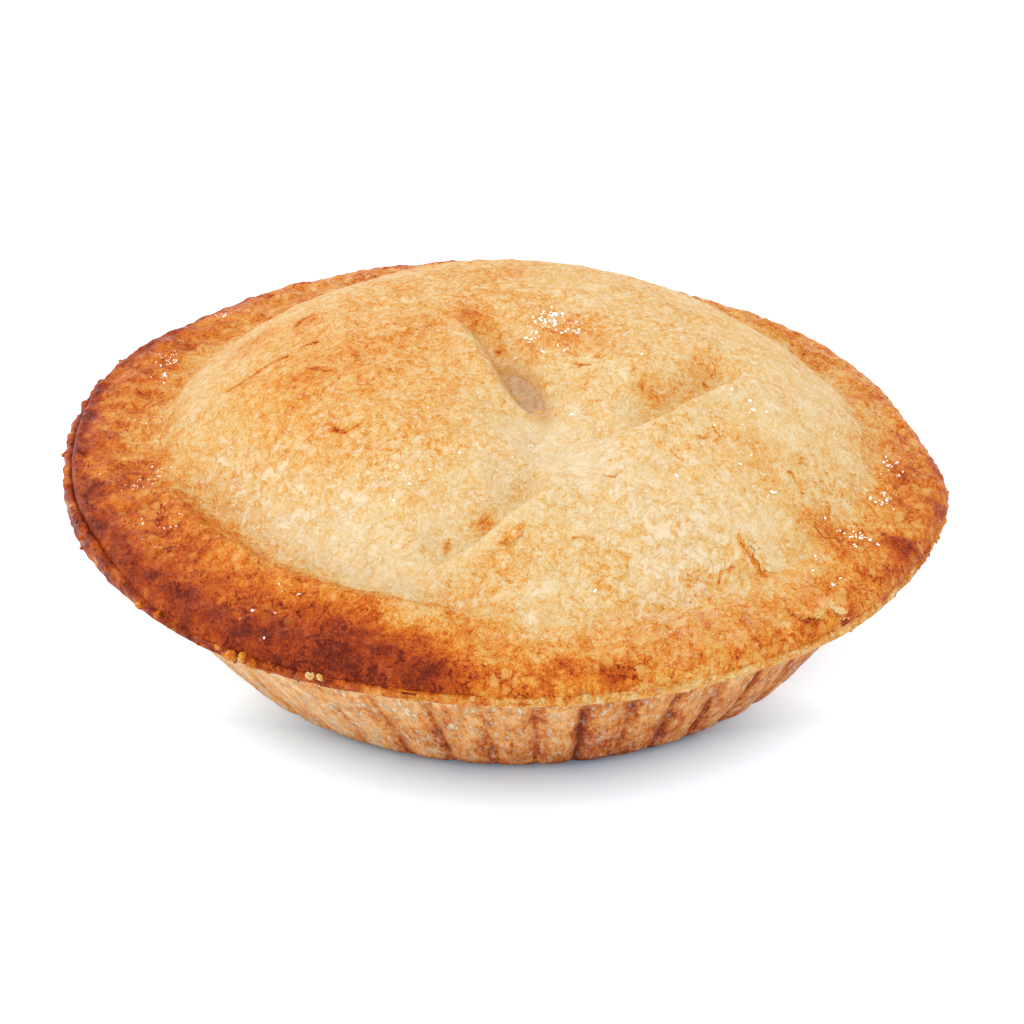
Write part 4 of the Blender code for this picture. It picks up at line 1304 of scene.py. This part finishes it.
def joined_piece(name, points, faces):
    """One mesh of many copies. points and faces are lists with one array for each copy."""
    starts = np.cumsum([0] + [len(part) for part in points[:-1]])
    everything = np.concatenate(points)
    polygons = [list(face + start) for part, start in zip(faces, starts) for face in part]
    mesh = bpy.data.meshes.new(name)
    mesh.from_pydata(everything.tolist(), [], polygons)
    piece = bpy.data.objects.new(name, mesh)
    bpy.context.scene.collection.objects.link(piece)
    return piece


def surface(piece):
    """What finds the nearest point of a finished piece along a ray."""
    return BVHTree.FromObject(piece, bpy.context.evaluated_depsgraph_get())


def drop(tree, x, y):
    """The point of a surface seen from straight above, or the nearest one, and which way it faces."""
    place, facing, _, _ = tree.ray_cast(Vector((x, y, 80.0 * MM)), Vector((0.0, 0.0, -1.0)))
    if place is None:
        place, facing, _, _ = tree.find_nearest(Vector((x, y, 0.0)))
    return place, facing


def flake_sheet(tree, flake, columns, rows, dice):
    """Points of one thin flake that grows out of the lid at one end and lifts and curls at the other."""
    x, y, reach, width, turn, lift, _ = flake
    across = dice.uniform(0.85, 1.1, rows + 1)
    skew = dice.uniform(-0.15, 0.15, rows + 1)
    fray = dice.uniform(-0.14, 0.08, columns + 1)
    direction = np.array([math.cos(math.radians(turn)), math.sin(math.radians(turn))])
    sideways = np.array([-direction[1], direction[0]])
    points = []
    for row in range(rows + 1):
        run = row / rows
        taper = 0.72 + 0.28 * math.sin(math.pi * min(run + 0.15, 1.0))
        for column in range(columns + 1):
            off = 2.0 * column / columns - 1.0
            ahead = (run - 0.5 + fray[column] * run * run) * reach
            aside = (0.5 * off * across[row] * taper + skew[row] * 0.2) * width
            plan = np.array([x, y]) + direction * ahead + sideways * aside
            place, _ = drop(tree, *(plan * MM))
            curl = lift * run ** 1.6 * (1.0 - 0.5 * off * off)
            height = place.z + (curl - FLAKE_SUNK + 0.12 * run) * MM
            points.append((place.x, place.y, height))
    return np.array(points)


def crack_ribbon(tree, crack, steps, dice):
    """Points of one narrow strip of darker dough and painted shade that lies along a crack,
    tapering to both ends.
    """
    path, width, _ = crack
    corners = np.array(path)
    lengths = np.hypot(*(corners[1:] - corners[:-1]).T)
    run = np.concatenate([[0.0], np.cumsum(lengths)])
    stations = np.linspace(0.0, run[-1], steps + 1)
    middle = np.stack([np.interp(stations, run, corners[:, axis]) for axis in (0, 1)], axis=1)
    along = np.gradient(middle, axis=0)
    along /= np.linalg.norm(along, axis=1)[:, None]
    aside = np.stack([-along[:, 1], along[:, 0]], axis=1)
    wander = np.cumsum(dice.normal(scale=0.09, size=steps + 1))
    wander -= np.linspace(wander[0], wander[-1], steps + 1)
    points = []
    for row in range(steps + 1):
        half = 0.32 * width * (0.2 + 0.8 * math.sin(math.pi * row / steps)) * dice.uniform(0.4, 1.3)
        for side in (-1.0, 1.0):
            plan = middle[row] + aside[row] * (wander[row] + side * half)
            place, _ = drop(tree, *(plan * MM))
            points.append((place.x, place.y, place.z - RIBBON_SUNK * MM))
    return np.array(points)


def sheet_faces(columns, rows):
    wide = columns + 1
    corners = np.array([0, 1, wide + 1, wide])
    return np.array([row * wide + column + corners for row in range(rows) for column in range(columns)])


class LEMONPIE_OT_flakes(bpy.types.Operator):
    """Lift thin flakes out of the lid"""

    bl_idname = "lemonpie.flakes"
    bl_label = "Pastry Flakes"

    def execute(self, context):
        lid = context.scene.pie_lid
        tree = surface(bpy.data.objects["pie_lid"])
        dice = np.random.default_rng(71)
        points, faces = [], []
        for flake in LOOSE_FLAKES:
            points.append(flake_sheet(tree, flake, FLAKE_CELLS, FLAKE_CELLS, dice))
            faces.append(sheet_faces(FLAKE_CELLS, FLAKE_CELLS))
        for crack in CRACKS:
            points.append(crack_ribbon(tree, crack, RIBBON_CELLS, dice))
            faces.append(sheet_faces(1, RIBBON_CELLS))
        piece = joined_piece("flakes", points, faces)
        x, y, z = points_of(piece)
        # The crack strips are painted browner, for darker dough and painted shade
        tones = [tone for *_, tone in LOOSE_FLAKES] + [0.40 + 0.45 * change for *_, change in CRACKS]
        toast = np.repeat(tones, [len(sheet) for sheet in points]) + 0.12 * waves(x, y, z, 1.6 * MM, 74)
        paint(piece, toast=toast, gloss=0.2 + 0.3 * rim_share(lid, x, y), damp=0.0, flaky=0.2)
        modify(piece, "SOLIDIFY", thickness=FLAKE_THICKNESS, offset=-1.0)
        wear(piece, baked_crust, context.scene.pie_colours)
        finish_piece(piece, "lid_pastry")
        return {"FINISHED"}


def spin_matrix(dice):
    """A turn in any direction, as a 3 by 3 array."""
    quaternion = dice.normal(size=4)
    w, x, y, z = quaternion / np.linalg.norm(quaternion)
    return np.array([
        [1 - 2 * (y * y + z * z), 2 * (x * y - z * w), 2 * (x * z + y * w)],
        [2 * (x * y + z * w), 1 - 2 * (x * x + z * z), 2 * (y * z - x * w)],
        [2 * (x * z - y * w), 2 * (y * z + x * w), 1 - 2 * (x * x + y * y)],
    ])


def grain_model():
    """One sugar grain, 1 wide: a cube with its corners and edges cut off."""
    grain = added(bpy.ops.mesh.primitive_cube_add, size=1.0)
    with edit_mode("SELECT"):
        bpy.ops.mesh.bevel(offset=0.14, segments=1, affect="EDGES")
    return taken(grain)


def crumb_model():
    """One crumb, 1 wide: a lumpy ball."""
    crumb = added(bpy.ops.mesh.primitive_ico_sphere_add, subdivisions=2, radius=0.5)
    x, y, z = points_of(crumb)
    scale = 1.0 + 0.55 * waves(x, y, z, 0.38, 81)
    move_points(crumb, x * scale, y * scale, z * scale)
    return taken(crumb)


def taken(model):
    """A model's points and faces as arrays. The model itself is removed."""
    points = np.stack(points_of(model), axis=1)
    faces = [np.array(face.vertices) for face in model.data.polygons]
    bpy.data.objects.remove(model)
    return points, faces


class LEMONPIE_OT_sugar(bpy.types.Operator):
    """Scatter sugar grains, which also stand for glints, in their clusters on the lid"""

    bl_idname = "lemonpie.sugar"
    bl_label = "Sugar"

    def execute(self, context):
        tree = surface(bpy.data.objects["pie_lid"])
        lid = context.scene.pie_lid
        dice = np.random.default_rng(72)
        model, model_faces = grain_model()
        points = []
        for x, y, reach, count in SUGAR_AND_GLINTS:
            for off_x, off_y in dice.normal(scale=0.5 * reach, size=(count, 2)):
                place, facing = drop(tree, (x + off_x) * MM, (y + off_y) * MM)
                if vent_distance(lid, place.x, place.y) < 0.5 * MM:
                    continue
                # On the left rim the grains are smaller, for there they stand for tiny glints
                largest = 0.42 if x > -40.0 else 0.28
                flat = np.array((1.5, 1.0, 0.5))
                size = MM * dice.uniform(0.12, largest) * flat * dice.uniform(0.6, 1.1, 3)
                middle = np.array(place + facing * 0.3 * float(size.min()))
                points.append((model * size) @ spin_matrix(dice).T + middle)
        piece = joined_piece("sugar", points, [model_faces] * len(points))
        wear(piece, sugar_and_glints)
        finish_piece(piece, "lid_pastry")
        return {"FINISHED"}


class LEMONPIE_OT_crumbs(bpy.types.Operator):
    """Set crumbs on the case's ragged edge"""

    bl_idname = "lemonpie.crumbs"
    bl_label = "Edge Crumbs"

    def execute(self, context):
        case = context.scene.pie_case
        tree = surface(bpy.data.objects["pie_case"])
        dice = np.random.default_rng(73)
        model, model_faces = crumb_model()
        low, high = case.underside + 0.3 * MM, flange_top(case) + case.lip_height
        wanted = []
        for _ in range(CRUMBS):
            angle = dice.uniform(-math.pi, math.pi)
            height, size = dice.uniform(low, high), dice.uniform(0.35, 0.85)
            tone = float(rim_toast(angle, np.array(3.0))) - 0.10
            if dice.random() > 0.7 * float(groove_share(angle)):
                wanted.append((angle, height, size * MM, tone))
        for degrees, height, size, tone in LARGE_CRUMBS:
            wanted.append((math.radians(degrees), case.underside + height * MM, size * MM, tone))
        points, tones = [], []
        for angle, height, size, tone in wanted:
            outwards = Vector((math.cos(angle), math.sin(angle), 0.0))
            start = outwards * (1.2 * RIM_RADIUS) + Vector((0.0, 0.0, height + float(rim_lift(angle))))
            place, facing, _, _ = tree.ray_cast(start, -outwards)
            if place is None:
                continue
            sides = size * dice.uniform(0.7, 1.0, 3)
            middle = np.array(place + facing * 0.1 * float(sides.min()))
            points.append((model * sides) @ spin_matrix(dice).T + middle)
            tones.append(tone)
        piece = joined_piece("crumbs", points, [model_faces] * len(points))
        toast = np.repeat(tones, len(model)) + 0.12 * waves(*points_of(piece), 2.0 * MM, 82)
        paint(piece, toast=np.clip(toast, 0.0, 1.0), gloss=0.3, damp=0.0)
        wear(piece, baked_crust, context.scene.pie_colours)
        finish_piece(piece, "case_pastry")
        return {"FINISHED"}


def look_at(thing, place):
    """Turns a light or camera towards a place."""
    thing.rotation_euler = (Vector(place) - thing.location).to_track_quat("-Z", "Y").to_euler()


def soft_light(name, place, power):
    light = added(bpy.ops.object.light_add, type="AREA", location=place)
    light.name = name
    light.data.shape = "DISK"
    light.data.size = LIGHT_SIZE
    light.data.energy = power
    look_at(light, (0.0, 0.0, 0.5 * CASE_HIGH.z))


class LEMONPIE_OT_stage(bpy.types.Operator):
    """Set the pale floor, the soft lights and the camera"""

    bl_idname = "lemonpie.stage"
    bl_label = "Stage"

    def execute(self, context):
        studio = context.scene.pie_studio
        floor = added(bpy.ops.mesh.primitive_plane_add, size=6.0)
        floor.name = "floor"
        wear(floor, pale_floor, context.scene.pie_case, studio)
        world = bpy.data.worlds.new("studio")
        world.use_nodes = True
        fill(world.node_tree.nodes["Background"], {"Color": WHITE, "Strength": studio.surround})
        context.scene.world = world
        soft_light("key", KEY_AT, studio.key)
        soft_light("fill", FILL_AT, studio.fill)
        back = Vector((0.0, -math.cos(studio.elevation), math.sin(studio.elevation)))
        camera = added(bpy.ops.object.camera_add, location=Vector(CAMERA_AIM) + back * studio.distance)
        look_at(camera, CAMERA_AIM)
        camera.data.lens = studio.focal
        camera.data.sensor_width = 36.0
        camera.data.clip_start = 0.01
        context.scene.camera = camera
        context.scene.view_settings.view_transform = "Standard"
        return {"FINISHED"}


OPERATORS = (
    LEMONPIE_OT_case,
    LEMONPIE_OT_filling,
    LEMONPIE_OT_lid,
    LEMONPIE_OT_flakes,
    LEMONPIE_OT_sugar,
    LEMONPIE_OT_crumbs,
    LEMONPIE_OT_stage,
)
SETTINGS = {
    "pie_case": PieCaseSizes,
    "pie_lid": PieLidSizes,
    "pie_colours": PieColours,
    "pie_studio": PieStudio,
}


class LEMONPIE_PT_panel(bpy.types.Panel):
    """The pie's steps in order, and their settings"""

    bl_idname = "LEMONPIE_PT_panel"
    bl_label = "Lemon Pie"
    bl_space_type = "VIEW_3D"
    bl_region_type = "UI"
    bl_category = "Lemon Pie"

    def draw(self, context):
        for operator in OPERATORS:
            self.layout.operator(operator.bl_idname)
        for name in SETTINGS:
            settings = getattr(context.scene, name)
            box = self.layout.box()
            for prop in settings.__annotations__:
                box.prop(settings, prop)


def register():
    for kind in (*SETTINGS.values(), *OPERATORS, LEMONPIE_PT_panel):
        bpy.utils.register_class(kind)
    for name, kind in SETTINGS.items():
        setattr(bpy.types.Scene, name, bpy.props.PointerProperty(type=kind))


def unregister():
    for name in SETTINGS:
        delattr(bpy.types.Scene, name)
    for kind in (LEMONPIE_PT_panel, *reversed(OPERATORS), *SETTINGS.values()):
        bpy.utils.unregister_class(kind)


def main():
    register()
    bpy.ops.lemonpie.case()
    bpy.ops.lemonpie.filling()
    bpy.ops.lemonpie.lid()
    bpy.ops.lemonpie.flakes()
    bpy.ops.lemonpie.sugar()
    bpy.ops.lemonpie.crumbs()
    bpy.ops.lemonpie.stage()
    bpy.context.view_layer.update()


if __name__ == "__main__":
    main()
